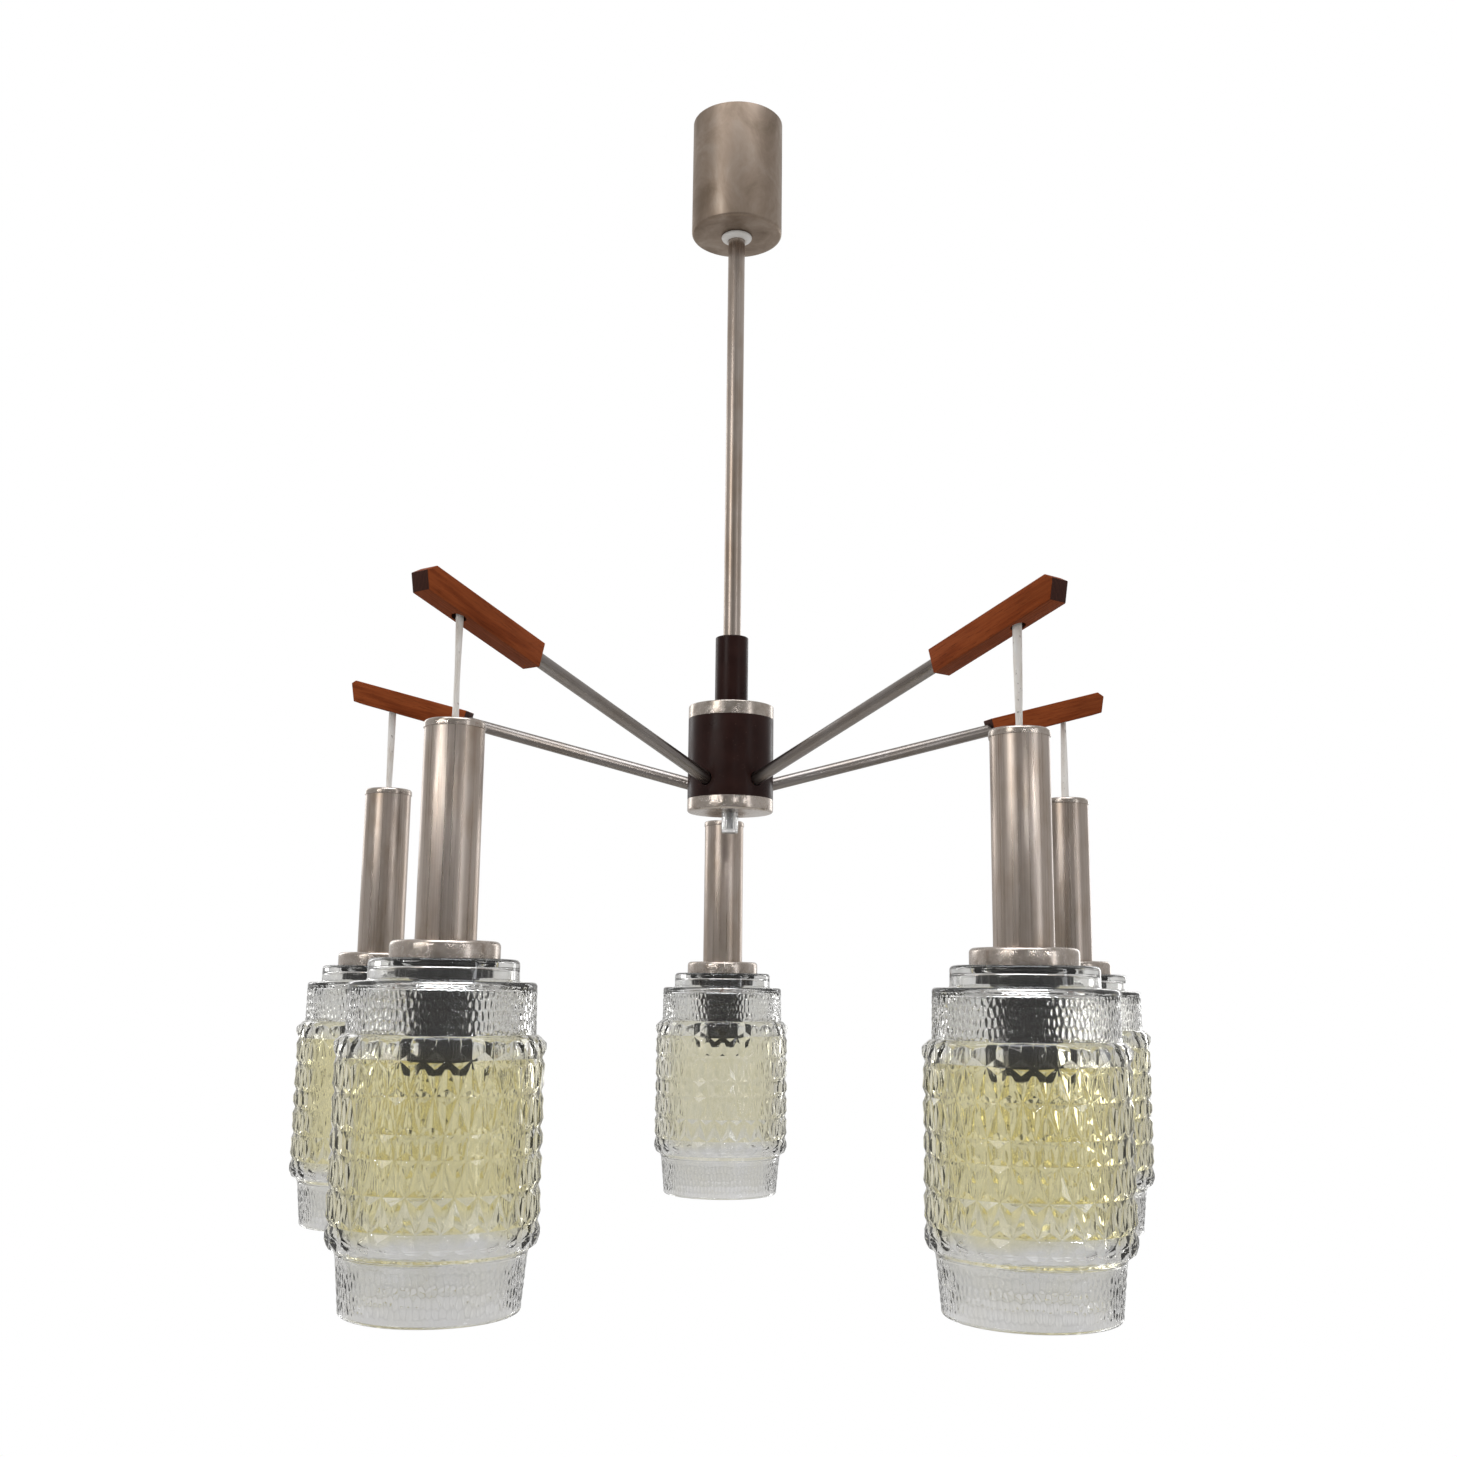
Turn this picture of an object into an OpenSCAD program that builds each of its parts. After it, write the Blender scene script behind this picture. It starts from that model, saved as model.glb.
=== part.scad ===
// Five-arm ceiling chandelier: nickel canopy and stem, dark hub, teak arm ends
// and five long nickel covers that carry pressed-glass shades.
// Millimetres. The origin is the centre of the canopy's rim, which meets the
// ceiling, and +Z is up, so the whole fixture hangs at negative Z.

/* [Canopy] */
// Outer diameter of the canopy cup
canopy_d = 76; // [72:1:90]
// Height of the canopy cup
canopy_h = 102; // [95:1:130]
// Wall of the spun metal cups
sheet = 1; // [0.8:0.1:1.5]
// Outer diameter of the white bush under the canopy
bush_d = 27.6; // [25:0.2:32]

/* [Stem] */
// Outer diameter of the stem tube
stem_d = 14; // [13:0.5:15]
// Wall of the stem tube
stem_wall = 1; // [0.8:0.1:1.5]
// Outer diameter of the dark collar on the stem
collar_d = 26.4; // [22:0.2:32]
// Height of the dark collar
collar_h = 57; // [40:1:90]

/* [Hub] */
// Distance from the ceiling to the top of the hub
hub_drop = 508.4; // [450:0.2:600]
// Outer diameter of the hub
hub_d = 68; // [66:1:74]
// Height of each nickel cap of the hub
hub_cap_h = 10.5; // [9:0.5:12]
// Height of the dark drum between the caps
drum_h = 64.4; // [62:0.2:80]
// Wall of the dark drum
drum_wall = 3; // [2:0.5:4]
// Height of the clear nut under the hub
finial_h = 16; // [14:1:24]

/* [Arms] */
// Outer diameter of the arm tubes
arm_d = 10; // [9:0.5:10]
// Upward slope of the arms in degrees
arm_slope = 16.3; // [14:0.1:18]
// Height of the arm's axis above the hub's underside, at the drum's wall
arm_rise = 24.4; // [22:0.2:28]

/* [Teak blocks] */
// Length of a block's underside
block_l = 107.5; // [100:0.5:115]
// Width of a block
block_w = 15; // [14:0.5:20]
// Height of a block, square to the arm
block_h = 18; // [17:0.5:22]
// Slant of the outer end face, in degrees from square
block_slant = 26; // [10:1:30]
// Corner cut at the top of each block's outer end, sawn by hand
block_corners = [5, 3.2, 6.6, 5.2, 4.7]; // 3 to 7 each

/* [Cords and covers] */
// Diameter of the circle that the five pendants hang on
circle_d = 610; // [600:2:616]
// Width of the flat cord
cord_w = 6.2; // [5.6:0.1:6.4]
// Thickness of the flat cord
cord_t = 4; // [3:0.1:5]
// Outer diameter of the cover tubes
cover_d = 38; // [36:0.5:42]
// Height of a cover tube with its end cap
cover_h = 137.9; // [120:0.1:160]
// Diameter of the gallery disc on top of the glass
gallery_d = 68; // [60:1:76]
// Height of the gallery disc
gallery_h = 10.9; // [9:0.1:12]

/* [Glass shade] */
// Outer diameter of the clear neck
neck_d = 92.4; // [88:0.2:96]
// Height of the clear neck
neck_h = 13.7; // [13:0.1:16]
// Outer diameter of the hammered band
band_d = 114.6; // [110:0.2:118]
// Height of the hammered band
band_h = 31.9; // [28:0.1:36]
// Largest diameter over the facets
facet_d = 127.2; // [124:0.2:130]
// Depth of the grooves between the facet rows
groove = 2.6; // [1:0.1:3]
// Heights of the seven facet rows, from the top
rows = [13.2, 20.2, 21, 14, 20.2, 20.2, 13.2]; // 12 to 24 each
// Outer diameter of the skirt where it leaves the facets
skirt_top_d = 113.2; // [110:0.2:118]
// Outer diameter of the skirt at its rim
skirt_rim_d = 107.4; // [104:0.2:110]
// Height of the skirt
skirt_h = 38.9; // [30:0.1:45]
// Wall of the glass
glass = 4; // [3.5:0.1:5]

/* [Lamp holder] */
// Outer diameter of the holder's body
holder_d = 43; // [42:0.5:44]
// Height of the holder below the glass's top
holder_h = 66; // [64:1:68]
// Inner radius of the E27 screw shell
lamp_r = 13.3; // [13.3:0.05:13.5]
// Outer diameter of the ring that holds the shade
ring_d = 60; // [54:1:66]
// Height of the ring that holds the shade
ring_h = 6.8; // [6:0.1:8]

/* [Hidden] */
ARMS = [1:5];

$fn = 96;
RUNNING = 0.1;    // radial clearance of a part that turns or slides
GAP = 0.05;       // between separate pieces of one group

// Colours
NICKEL = [0.62, 0.59, 0.56];
POLISHED = [0.74, 0.72, 0.70];
TARNISHED = [0.47, 0.42, 0.37];
DARK = [0.12, 0.07, 0.06];
TEAK = [0.50, 0.23, 0.10];
CREAM = [0.86, 0.83, 0.79];
BLACK = [0.06, 0.06, 0.06];
BRASS = [0.78, 0.60, 0.30];
STEEL = [0.55, 0.56, 0.58];
CLEAR = [0.80, 0.80, 0.70, 0.5];

// Canopy and hanger
canopy_r = canopy_d / 2;
canopy_edge = 2.5;
bush_r = bush_d / 2;
bush_drop = 4.2;
bush_neck_r = 11;
bush_lip = 1.5;
stem_r = stem_d / 2;
stem_top = -70;
bore_r = stem_r - stem_wall;
eye_z = -45;
eye_r = 6;
eye_rim = 4;
eye_t = 8;
boss_r = 10;
boss_h = 14;
window_w = 10;
window_h = 12;

// Hub
hub_r = hub_d / 2;
hub_top = -hub_drop;
drum_top = hub_top - hub_cap_h;
drum_bottom = drum_top - drum_h;
hub_bottom = drum_bottom - hub_cap_h;
cap_plate = 1.5;
cap_edge = 1;
stem_nut_h = 5;
stem_nut_af = 19;
yoke_t = 2;
yoke_w = 18;
yoke_half = 15;
yoke_h = 30;
yoke_top = hub_top - cap_plate - stem_nut_h;
yoke_floor = yoke_top - yoke_h;
stem_bottom = yoke_top - yoke_t - stem_nut_h - 0.5;
rod_r = 3;
rod_nut_h = 4;
rod_nut_af = 10;
finial_r = 6.5;
finial_gap = 0.1;
finial_wall = 3;
flute_depth = 0.5;
flutes = 18;

// Arms: s runs along an arm's axis from the stem's axis
arm_r = arm_d / 2;
arm_bore = arm_r - 1;
arm_axis_z = hub_bottom + arm_rise - hub_r * tan(arm_slope);
arm_start = 25;
arm_nut_af = 13;
arm_nut_h = 4;
circle_r = circle_d / 2;
hole_s = (circle_r - block_h / 2 * sin(arm_slope)) / cos(arm_slope);
hole_z = arm_axis_z + hole_s * sin(arm_slope) - block_h / 2 * cos(arm_slope);
hole_share = 2 / 3;    // place of the cord hole along the block
block_start = hole_s - block_l * hole_share;
arm_end = hole_s - 15;
cable_end = hole_s - 6;
hole_r = 5;
hole_shift = 1;        // the cord leans on the inner side of its hole
hole_depth = 12;

// Cables inside the fixture
cable_r = 2.5;
cable_sides = 12;
cable_y = yoke_w / 2 + cable_r + 1;
terminal = [26, 16, 15];
hub_terminal = [12, 20, 12];
pole_r = 1.8;
screw_pitch = 8;
hub_screw_pitch = 6.5;
terminal_y = 22;
terminal_z = -78;
hub_terminal_x = 11;
hub_terminal_z = yoke_floor - yoke_t - 7 - hub_terminal[2];
cable_starts = [[7, 8], [-12, 4], [-10, -6], [10, -6], [12, 4]];

// Cord: points under the middle of the hole's mouth, and the twist of the flat cord
cord_route = [[0, 0, 4], [0, 0, 0], [0, 0, -5], [0, 0, -10], [0, 0, -15], [0, 0, -20], [0, 0, -25], [0, 0, -30],
              [0, 0, -35], [0, 0, -40], [0, 0, -45], [0, 0, -50], [0, 0, -55], [0, 0, -60], [0, 0, -65], [0, 0, -70]];
cord_turn = [70, 20, 0, 40, 80];
cord_twist = 5;
cord_sides = 12;
cord_last = len(cord_route) - 1;
cord_in_cap = 2.8;

// Pendant heights
cap_top = hole_z + cord_route[cord_last][2] + cord_in_cap;
cap_skirt = 5;
cap_wall = 0.6;
cap_round = 2.2;
cap_hole_r = 4.4;
cover_r = cover_d / 2;
gallery_top = cap_top - cover_h;
gallery_r = gallery_d / 2;
gallery_round = 3;
glass_top = gallery_top - gallery_h;

// Lamp holder
holder_r = holder_d / 2;
holder_wall = 2;
holder_lip_r = 25;
holder_lip_h = 3;
holder_plate = 4;
holder_bottom = glass_top - holder_h;
nipple_r = 5;
nipple_bore = 3.5;
nipple_top = gallery_top + 4.6;
grip_r = 7;
grip_h = 8;
lead_r = 2.6;
shell_t = 0.5;
shell_top = holder_bottom + 31;
shell_bottom = holder_bottom + 5;
insert_bottom = holder_bottom + 8;
contact_r = 3;
contact_z = shell_top + 0.3;
contact_h = 3;

// Shade: depths below the glass's top
shade_hole_r = 22;
shade_plate = 5;
neck_r = neck_d / 2;
band_r = band_d / 2;
facet_r = facet_d / 2;
groove_r = facet_r - groove;
bevel_h = 4.8;
first_row_proud = 0.6;
band_bottom = neck_h + band_h;
row_tops = [for (k = [0:len(rows)]) band_bottom + (k == 0 ? 0 : sum_of(rows, k - 1))];
skirt_top = row_tops[len(rows)];
shade_h = skirt_top + skirt_h;
rim_round = 2;

function sum_of(list, last) = last == 0 ? list[0] : list[last] + sum_of(list, last - 1);

// Points of an arc round (x, y), from angle a to angle b
function arc(x, y, r, a, b, steps = 5) =
    [for (k = [0:steps]) let (t = a + (b - a) * k / steps) [x + r * cos(t), y + r * sin(t)]];

// Section of a cup that opens downward: its plate is at y = 0
function cup(r, h, wall, plate, hole, edge) =
    concat([[hole, 0]], arc(r - edge, -edge, edge, 90, 0),
           [[r, -h], [r - wall, -h], [r - wall, -plate], [hole, -plate]]);

function azimuth(i) = 18 + 72 * i;

module lathe(points) {
    rotate_extrude() polygon(points);
}

module ring(r_out, r_in, z_low, z_high) {
    translate([0, 0, z_low]) difference() {
        cylinder(r = r_out, h = z_high - z_low);
        translate([0, 0, -1]) cylinder(r = r_in, h = z_high - z_low + 2);
    }
}

module hex_nut(across_flats, h, r_hole) {
    difference() {
        cylinder(d = across_flats / cos(30), h = h, $fn = 6);
        translate([0, 0, -1]) cylinder(r = r_hole, h = h + 2);
    }
}

function unit(v) = v / norm(v);

// Faces of a swept tube: rings of corners, one after another, and its two ends
function swept_faces(last, sides) = concat(
    [[for (j = [sides - 1:-1:0]) j], [for (j = [0:sides - 1]) last * sides + j]],
    [for (k = [0:last - 1], j = [0:sides - 1])
        let (a = k * sides + j, b = k * sides + (j + 1) % sides)
        each [[a, b, b + sides], [a, b + sides, a + sides]]]);

// The side direction of ring k, carried along the path without twist
function carried(along, k) = k == 0 ? [1, 0, 0] :
    let (before = carried(along, k - 1)) unit(before - (before * along[k]) * along[k]);

// A round cable through a list of points, which starts straight up or down
module cable(points, r) {
    last = len(points) - 1;
    steps = [for (k = [0:last - 1]) unit(points[k + 1] - points[k])];
    along = [for (k = [0:last]) unit(steps[max(k - 1, 0)] + steps[min(k, last - 1)])];
    corners = [for (k = [0:last]) let (u = carried(along, k), v = cross(u, along[k]))
        for (j = [0:cable_sides - 1]) let (a = 360 * j / cable_sides)
            points[k] + r * (cos(a) * u + sin(a) * v)];
    polyhedron(corners, swept_faces(last, cable_sides));
}

// Places: an arm's own frame has +X along its axis, and a pendant's hangs under its cord
module on_arm(i) {
    rotate([0, 0, azimuth(i)]) translate([0, 0, arm_axis_z]) rotate([0, -arm_slope, 0]) children();
}

function arm_point(i, s) =
    [s * cos(arm_slope) * cos(azimuth(i)), s * cos(arm_slope) * sin(azimuth(i)), arm_axis_z + s * sin(arm_slope)];

module at_pendant(i) {
    rotate([0, 0, azimuth(i)]) translate([circle_r, 0, 0]) children();
}

// ---- Canopy and stem ----

module canopy() {
    color(TARNISHED) translate([0, 0, -canopy_h]) mirror([0, 0, 1])
        lathe(cup(canopy_r, canopy_h, sheet, sheet, bush_neck_r, canopy_edge));
}

module canopy_bush() {
    lip = bush_neck_r + bush_lip;
    color("white") translate([0, 0, -canopy_h]) lathe(concat(
        [[stem_r + RUNNING, -bush_drop], [stem_r + bush_lip, -bush_drop], [bush_r - bush_lip, -bush_drop + 1]],
        arc(bush_r - bush_lip, -bush_lip, bush_lip, -60, 0),
        [[bush_r, 0], [bush_neck_r, 0], [bush_neck_r, sheet], [lip, sheet], [lip, sheet + 2],
         [stem_r + RUNNING, sheet + 2]]));
}

module hanging_bracket() {
    boss_top = stem_top + 2;
    color(STEEL) difference() {
        union() {
            rotate([90, 0, 0]) linear_extrude(eye_t, center = true) difference() {
                union() {
                    translate([0, eye_z]) circle(r = eye_r + eye_rim);
                    translate([-boss_r, boss_top]) square([2 * boss_r, eye_z - boss_top]);
                }
                translate([0, eye_z]) circle(r = eye_r);
                translate([-window_w / 2, boss_top + 2]) square([window_w, window_h]);
            }
            translate([0, 0, boss_top - boss_h]) cylinder(r = boss_r, h = boss_h);
        }
        translate([0, 0, boss_top - boss_h - 1]) cylinder(r = stem_r, h = boss_h - 1);
        translate([0, 0, stem_top - 1]) cylinder(r = 4, h = 6);
    }
}

module stem_tube() {
    color(NICKEL) ring(stem_r, bore_r, stem_bottom, stem_top);
}

module stem_collar() {
    color(DARK) translate([0, 0, hub_top + collar_h])
        lathe(concat([[stem_r, 0]], arc(collar_d / 2 - cap_edge, -cap_edge, cap_edge, 90, 0),
                     [[collar_d / 2, -collar_h], [stem_r, -collar_h]]));
}

// ---- Hub ----

module hub_top_cap() {
    color(POLISHED) translate([0, 0, hub_top])
        lathe(cup(hub_r, hub_cap_h, cap_plate, cap_plate, stem_r, cap_edge));
}

module hub_bottom_cap() {
    color(POLISHED) translate([0, 0, hub_bottom]) mirror([0, 0, 1])
        lathe(cup(hub_r, hub_cap_h, cap_plate, cap_plate, rod_r, 2 * cap_edge));
}

module hub_drum() {
    color(DARK) difference() {
        ring(hub_r, hub_r - drum_wall, drum_bottom, drum_top);
        for (i = ARMS) on_arm(i) rotate([0, 90, 0]) cylinder(r = arm_r, h = 2 * hub_r);
    }
}

module hub_yoke() {
    color(STEEL) difference() {
        translate([-yoke_half, -yoke_w / 2, yoke_floor - yoke_t]) cube([2 * yoke_half, yoke_w, yoke_h + yoke_t]);
        translate([yoke_t - yoke_half, -yoke_w, yoke_floor])
            cube([2 * (yoke_half - yoke_t), 2 * yoke_w, yoke_h - yoke_t]);
        translate([0, 0, yoke_top - 2 * yoke_t]) cylinder(r = stem_r, h = 4 * yoke_t);
        translate([0, 0, yoke_floor - 2 * yoke_t]) cylinder(r = rod_r, h = 4 * yoke_t);
    }
}

module tie_rod() {
    top = yoke_floor + rod_nut_h + 1;
    bottom = hub_bottom - finial_h + finial_wall + 1;
    color(STEEL) translate([0, 0, bottom]) cylinder(r = rod_r, h = top - bottom);
}

module lock_nuts() {
    color(BRASS) {
        translate([0, 0, yoke_top]) hex_nut(stem_nut_af, stem_nut_h, stem_r);
        translate([0, 0, yoke_top - yoke_t - stem_nut_h]) hex_nut(stem_nut_af, stem_nut_h, stem_r);
        translate([0, 0, yoke_floor]) hex_nut(rod_nut_af, rod_nut_h, rod_r);
        translate([0, 0, hub_bottom + cap_plate]) hex_nut(rod_nut_af, rod_nut_h, rod_r);
        for (i = ARMS) on_arm(i) translate([arm_start + 0.5, 0, 0]) rotate([0, 90, 0])
            hex_nut(arm_nut_af, arm_nut_h, arm_r);
    }
}

// A plastic terminal strip with a row of wire holes and screw wells
module terminal_strip(size, pitch) {
    difference() {
        translate([-size[0] / 2, -size[1] / 2, 0]) cube(size);
        for (k = [-1:1]) {
            along = size[0] > size[1] ? [k * pitch, 0] : [0, k * pitch];
            translate([along[0], along[1], -1]) cylinder(r = pole_r, h = size[2] + 2);
        }
    }
}

module terminal_blocks() {
    color(CREAM) {
        translate([0, terminal_y, terminal_z]) terminal_strip(terminal, screw_pitch);
        for (side = [-1, 1]) translate([side * hub_terminal_x, 0, hub_terminal_z])
            terminal_strip(hub_terminal, hub_screw_pitch);
    }
}

module supply_cable() {
    over = terminal_z + terminal[2];
    under = yoke_floor - yoke_t - 3.5;
    color(BLACK) cable([[0, terminal_y, over], [0, terminal_y, over + 3], [0, 0, over + 3],
                        [0, 0, stem_bottom + 6], [0, 2, stem_bottom - 8], [0, cable_y, yoke_floor + 8],
                        [0, cable_y, under], [7, 7.5, under], [7, 7.5, hub_terminal_z + hub_terminal[2] + 0.1]],
                       cable_r);
}

module arm_cables() {
    color(CREAM) for (i = ARMS) {
        start = cable_starts[i - 1];
        mouth = arm_point(i, arm_start - 3);
        cable([[start[0], start[1], hub_terminal_z], [start[0], start[1], mouth[2] + 3], mouth,
               arm_point(i, cable_end)], cable_r);
    }
}

module finial_nut() {
    ridges = 2 * flutes;
    color(CLEAR) difference() {
        translate([0, 0, hub_bottom - finial_h]) linear_extrude(finial_h - finial_gap)
            polygon([for (k = [0:ridges - 1]) let (r = finial_r - (k % 2) * flute_depth, a = 360 * k / ridges)
                     [r * cos(a), r * sin(a)]]);
        translate([0, 0, hub_bottom - finial_h + finial_wall]) cylinder(r = rod_r + RUNNING / 2, h = finial_h);
    }
}

// ---- Arms ----

module arm_tube(i) {
    color(NICKEL) on_arm(i) rotate([0, 90, 0]) ring(arm_r, arm_bore, arm_start, arm_end);
}

module arm_block(i) {
    low = -block_h / 2;
    high = block_h / 2;
    corner = block_corners[i - 1];
    slant = tan(block_slant);
    end = block_start + block_l;
    color(TEAK) difference() {
        on_arm(i) difference() {
            rotate([90, 0, 0]) linear_extrude(block_w, center = true) polygon([
                [block_start, low], [end, low], [end + slant * (block_h - corner), high - corner],
                [end + slant * (block_h - corner) - corner, high], [block_start, high]]);
            rotate([0, 90, 0]) translate([0, 0, block_start - 1]) cylinder(r = arm_r, h = hole_s - block_start);
        }
        at_pendant(i) translate([hole_shift, 0, hole_z - hole_depth]) cylinder(r = hole_r, h = 2 * hole_depth);
    }
}

// ---- Pendants ----

// The flat cord: one ring of an oval section at each point of its route
module pendant_cord(i) {
    ring_at = function (k) let (turn = cord_turn[i - 1] + cord_twist * k)
        [for (j = [0:cord_sides - 1])
            let (a = 360 * j / cord_sides, u = cord_w / 2 * cos(a), v = cord_t / 2 * sin(a))
            cord_route[k] + [u * cos(turn) - v * sin(turn), u * sin(turn) + v * cos(turn), 0]];
    color(CREAM) at_pendant(i) translate([0, 0, hole_z])
        polyhedron([for (k = [0:cord_last]) each ring_at(k)], swept_faces(cord_last, cord_sides));
}

module end_cap(i) {
    color(NICKEL) at_pendant(i) translate([0, 0, cap_top])
        lathe(cup(cover_r + cap_wall, cap_skirt, cap_wall, 2 * cap_wall, cap_hole_r, cap_round));
}

module cover_tube(i) {
    color(NICKEL) at_pendant(i) ring(cover_r, cover_r - sheet, gallery_top, cap_top - 2 * cap_wall);
}

module gallery(i) {
    color(POLISHED) at_pendant(i) translate([0, 0, gallery_top])
        lathe(cup(gallery_r, gallery_h, sheet, sheet, nipple_r, gallery_round));
}

// Bakelite body with its clamping lip, porcelain insert, brass screw shell and
// contact, threaded nipple, its nut, the cord grip and the lead in the cover
module lamp_holder(i) {
    lip_top = glass_top + holder_lip_h;
    inner_r = holder_r - holder_wall;
    floor_z = lip_top - holder_plate;
    lead_top = cap_top - 6;
    seat_r = nipple_r + GAP;
    ceiling_z = contact_z + contact_h + GAP;
    shell_r = lamp_r + shell_t;
    at_pendant(i) {
        color(BLACK) lathe([[seat_r, lip_top], [holder_lip_r, lip_top], [holder_lip_r, glass_top],
                            [holder_r, glass_top], [holder_r, holder_bottom], [inner_r, holder_bottom],
                            [inner_r, floor_z], [seat_r, floor_z]]);
        color("white") lathe([[lead_r, floor_z - 1], [inner_r - GAP, floor_z - 1], [inner_r - GAP, insert_bottom],
                              [shell_r + GAP, insert_bottom], [shell_r + GAP, ceiling_z], [lead_r, ceiling_z]]);
        color(BRASS) {
            ring(shell_r, lamp_r, shell_bottom, shell_top);
            translate([0, 0, contact_z]) cylinder(r = contact_r, h = contact_h);
            ring(nipple_r, nipple_bore, floor_z, nipple_top);
            translate([0, 0, gallery_top]) hex_nut(13, 4, seat_r);
        }
        color("ivory") ring(grip_r, lead_r + GAP, nipple_top + GAP, nipple_top + grip_h);
        color(CREAM) translate([0, 0, floor_z + 1]) cylinder(r = lead_r, h = lead_top - floor_z - 1);
    }
}

// Outside of the glass: neck, shoulder, hammered band, seven grooved rows, skirt
function shade_outside() = concat(
    [[shade_hole_r, 0]],
    arc(neck_r - 3, -3, 3, 90, 0),
    [[neck_r, -neck_h + 1.5], [neck_r + 1.5, -neck_h]],
    arc(band_r - 2.5, -neck_h - 2.5, 2.5, 90, 0),
    [[band_r + 0.4, -band_bottom]],
    [for (k = [0:len(rows) - 1]) let (proud = k == 0 ? first_row_proud : 0) each [
        [groove_r - (k == 0 ? 1.5 : 0), -row_tops[k]],
        [facet_r + proud, -row_tops[k] - bevel_h],
        [facet_r + proud, -row_tops[k + 1] + bevel_h]]],
    [[groove_r, -skirt_top], [skirt_top_d / 2 + 1.5, -skirt_top - 2], [skirt_top_d / 2, -skirt_top - 6]],
    arc(skirt_rim_d / 2 - rim_round, -shade_h + rim_round, rim_round, 0, -90));

// Inside of the glass, from the rim upward
function shade_inside() = concat(
    arc(skirt_rim_d / 2 - rim_round, -shade_h + rim_round, rim_round, -90, -180),
    [[skirt_top_d / 2 - glass, -skirt_top], [groove_r - glass, -skirt_top + 6],
     [groove_r - glass, -band_bottom - 6], [band_r - glass, -band_bottom + 2],
     [band_r - glass, -neck_h - glass - 2], [band_r - glass - 2, -neck_h - glass],
     [neck_r - glass, -neck_h - 1], [neck_r - glass, -shade_plate - 2], [neck_r - glass - 2, -shade_plate],
     [shade_hole_r, -shade_plate]]);

module shade(i) {
    color(CLEAR) at_pendant(i) translate([0, 0, glass_top]) lathe(concat(shade_outside(), shade_inside()));
}

module shade_ring(i) {
    top = glass_top - shade_plate - RUNNING;
    color(BLACK) at_pendant(i) ring(ring_d / 2, holder_r + RUNNING, top - ring_h, top);
}

// ---- Nodes ----

canopy();
canopy_bush();
hanging_bracket();
stem_tube();
stem_collar();
hub_top_cap();
hub_drum();
hub_bottom_cap();
hub_yoke();
tie_rod();
lock_nuts();
terminal_blocks();
supply_cable();
arm_cables();
finial_nut();
for (i = ARMS) {
    arm_tube(i);
    arm_block(i);
    pendant_cord(i);
    end_cap(i);
    cover_tube(i);
    gallery(i);
    lamp_holder(i);
    shade(i);
    shade_ring(i);
}
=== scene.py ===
"""Looks of a five-arm pendant chandelier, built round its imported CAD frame.

Metres, +Z up. The origin is the centre of the canopy's rim on the ceiling.
"""

from math import cos, floor, hypot, pi, radians, sin, tan

import bmesh
import bpy
from mathutils import Matrix, Vector, noise


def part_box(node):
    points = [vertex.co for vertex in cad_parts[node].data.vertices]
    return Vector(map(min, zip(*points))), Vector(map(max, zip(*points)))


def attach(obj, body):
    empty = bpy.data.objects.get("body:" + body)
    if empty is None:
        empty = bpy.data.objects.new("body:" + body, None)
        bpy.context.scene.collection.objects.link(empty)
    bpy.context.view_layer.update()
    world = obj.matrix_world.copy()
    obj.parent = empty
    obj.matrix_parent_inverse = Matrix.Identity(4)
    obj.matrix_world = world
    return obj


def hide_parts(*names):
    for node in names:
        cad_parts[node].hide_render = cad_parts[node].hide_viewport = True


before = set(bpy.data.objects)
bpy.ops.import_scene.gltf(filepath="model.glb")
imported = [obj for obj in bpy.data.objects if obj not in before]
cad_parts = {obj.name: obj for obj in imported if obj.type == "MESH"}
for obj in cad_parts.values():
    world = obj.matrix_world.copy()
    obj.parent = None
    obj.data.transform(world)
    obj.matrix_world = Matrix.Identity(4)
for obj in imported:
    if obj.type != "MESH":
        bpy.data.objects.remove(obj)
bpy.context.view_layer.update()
scene = bpy.context.scene

# ---- Sizes that the frame's boxes don't give, as in the CAD model ----
MM = 0.001
TURN = 2 * pi
ARMS = range(1, 6)
SHEET = 1 * MM
# A radius below this is the axis, and an angle of more degrees than this is a sharp edge
TINY, SHARP = 1e-9, 35

# Stem, canopy and hub
STEM_R, STEM_BORE = 7 * MM, 6 * MM
CANOPY_R = 38 * MM
CANOPY_HOLE = 11 * MM
HUB_R = 34 * MM
CAP_PLATE = 1.5 * MM
DRUM_WALL = 3 * MM
FINIAL_R, FINIAL_BORE = 6.5 * MM, 3.1 * MM

# Arms and their teak blocks
ARM_R, ARM_BORE = 5 * MM, 4 * MM
ARM_SLOPE = radians(16.3)
ARM_RISE = 24.4 * MM
ARM_START = 25 * MM
ARM_TO_HOLE = 15 * MM
BLOCK = Vector((107.5, 15, 18)) * MM
BLOCK_SLANT = tan(radians(26))
BLOCK_CORNERS = [5, 3.2, 6.6, 5.2, 4.7]
BLOCK_EDGE = 0.55 * MM
HOLE_R = 5 * MM
HOLE_SHIFT = 1 * MM
HOLE_REACH = 12 * MM

# Cords: the route runs down from the block's underside, in millimetres
CIRCLE_R = 305 * MM
CORD_W, CORD_T = 6.2 * MM, 4 * MM
CORD_ROUTE = [(0, 0, 4), (0, 0, 0), (0, 0, -5), (0, 0, -10), (0, 0, -15), (0, 0, -20),
              (0, 0, -25), (0, 0, -30), (0, 0, -35), (0, 0, -40), (0, 0, -45), (0, 0, -50),
              (0, 0, -55), (0, 0, -60), (0, 0, -65), (0, 0, -70)]
CORD_TURNS = [70, 20, 0, 40, 80]
CORD_TWIST = 5
CORD_STEPS = 4

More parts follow.
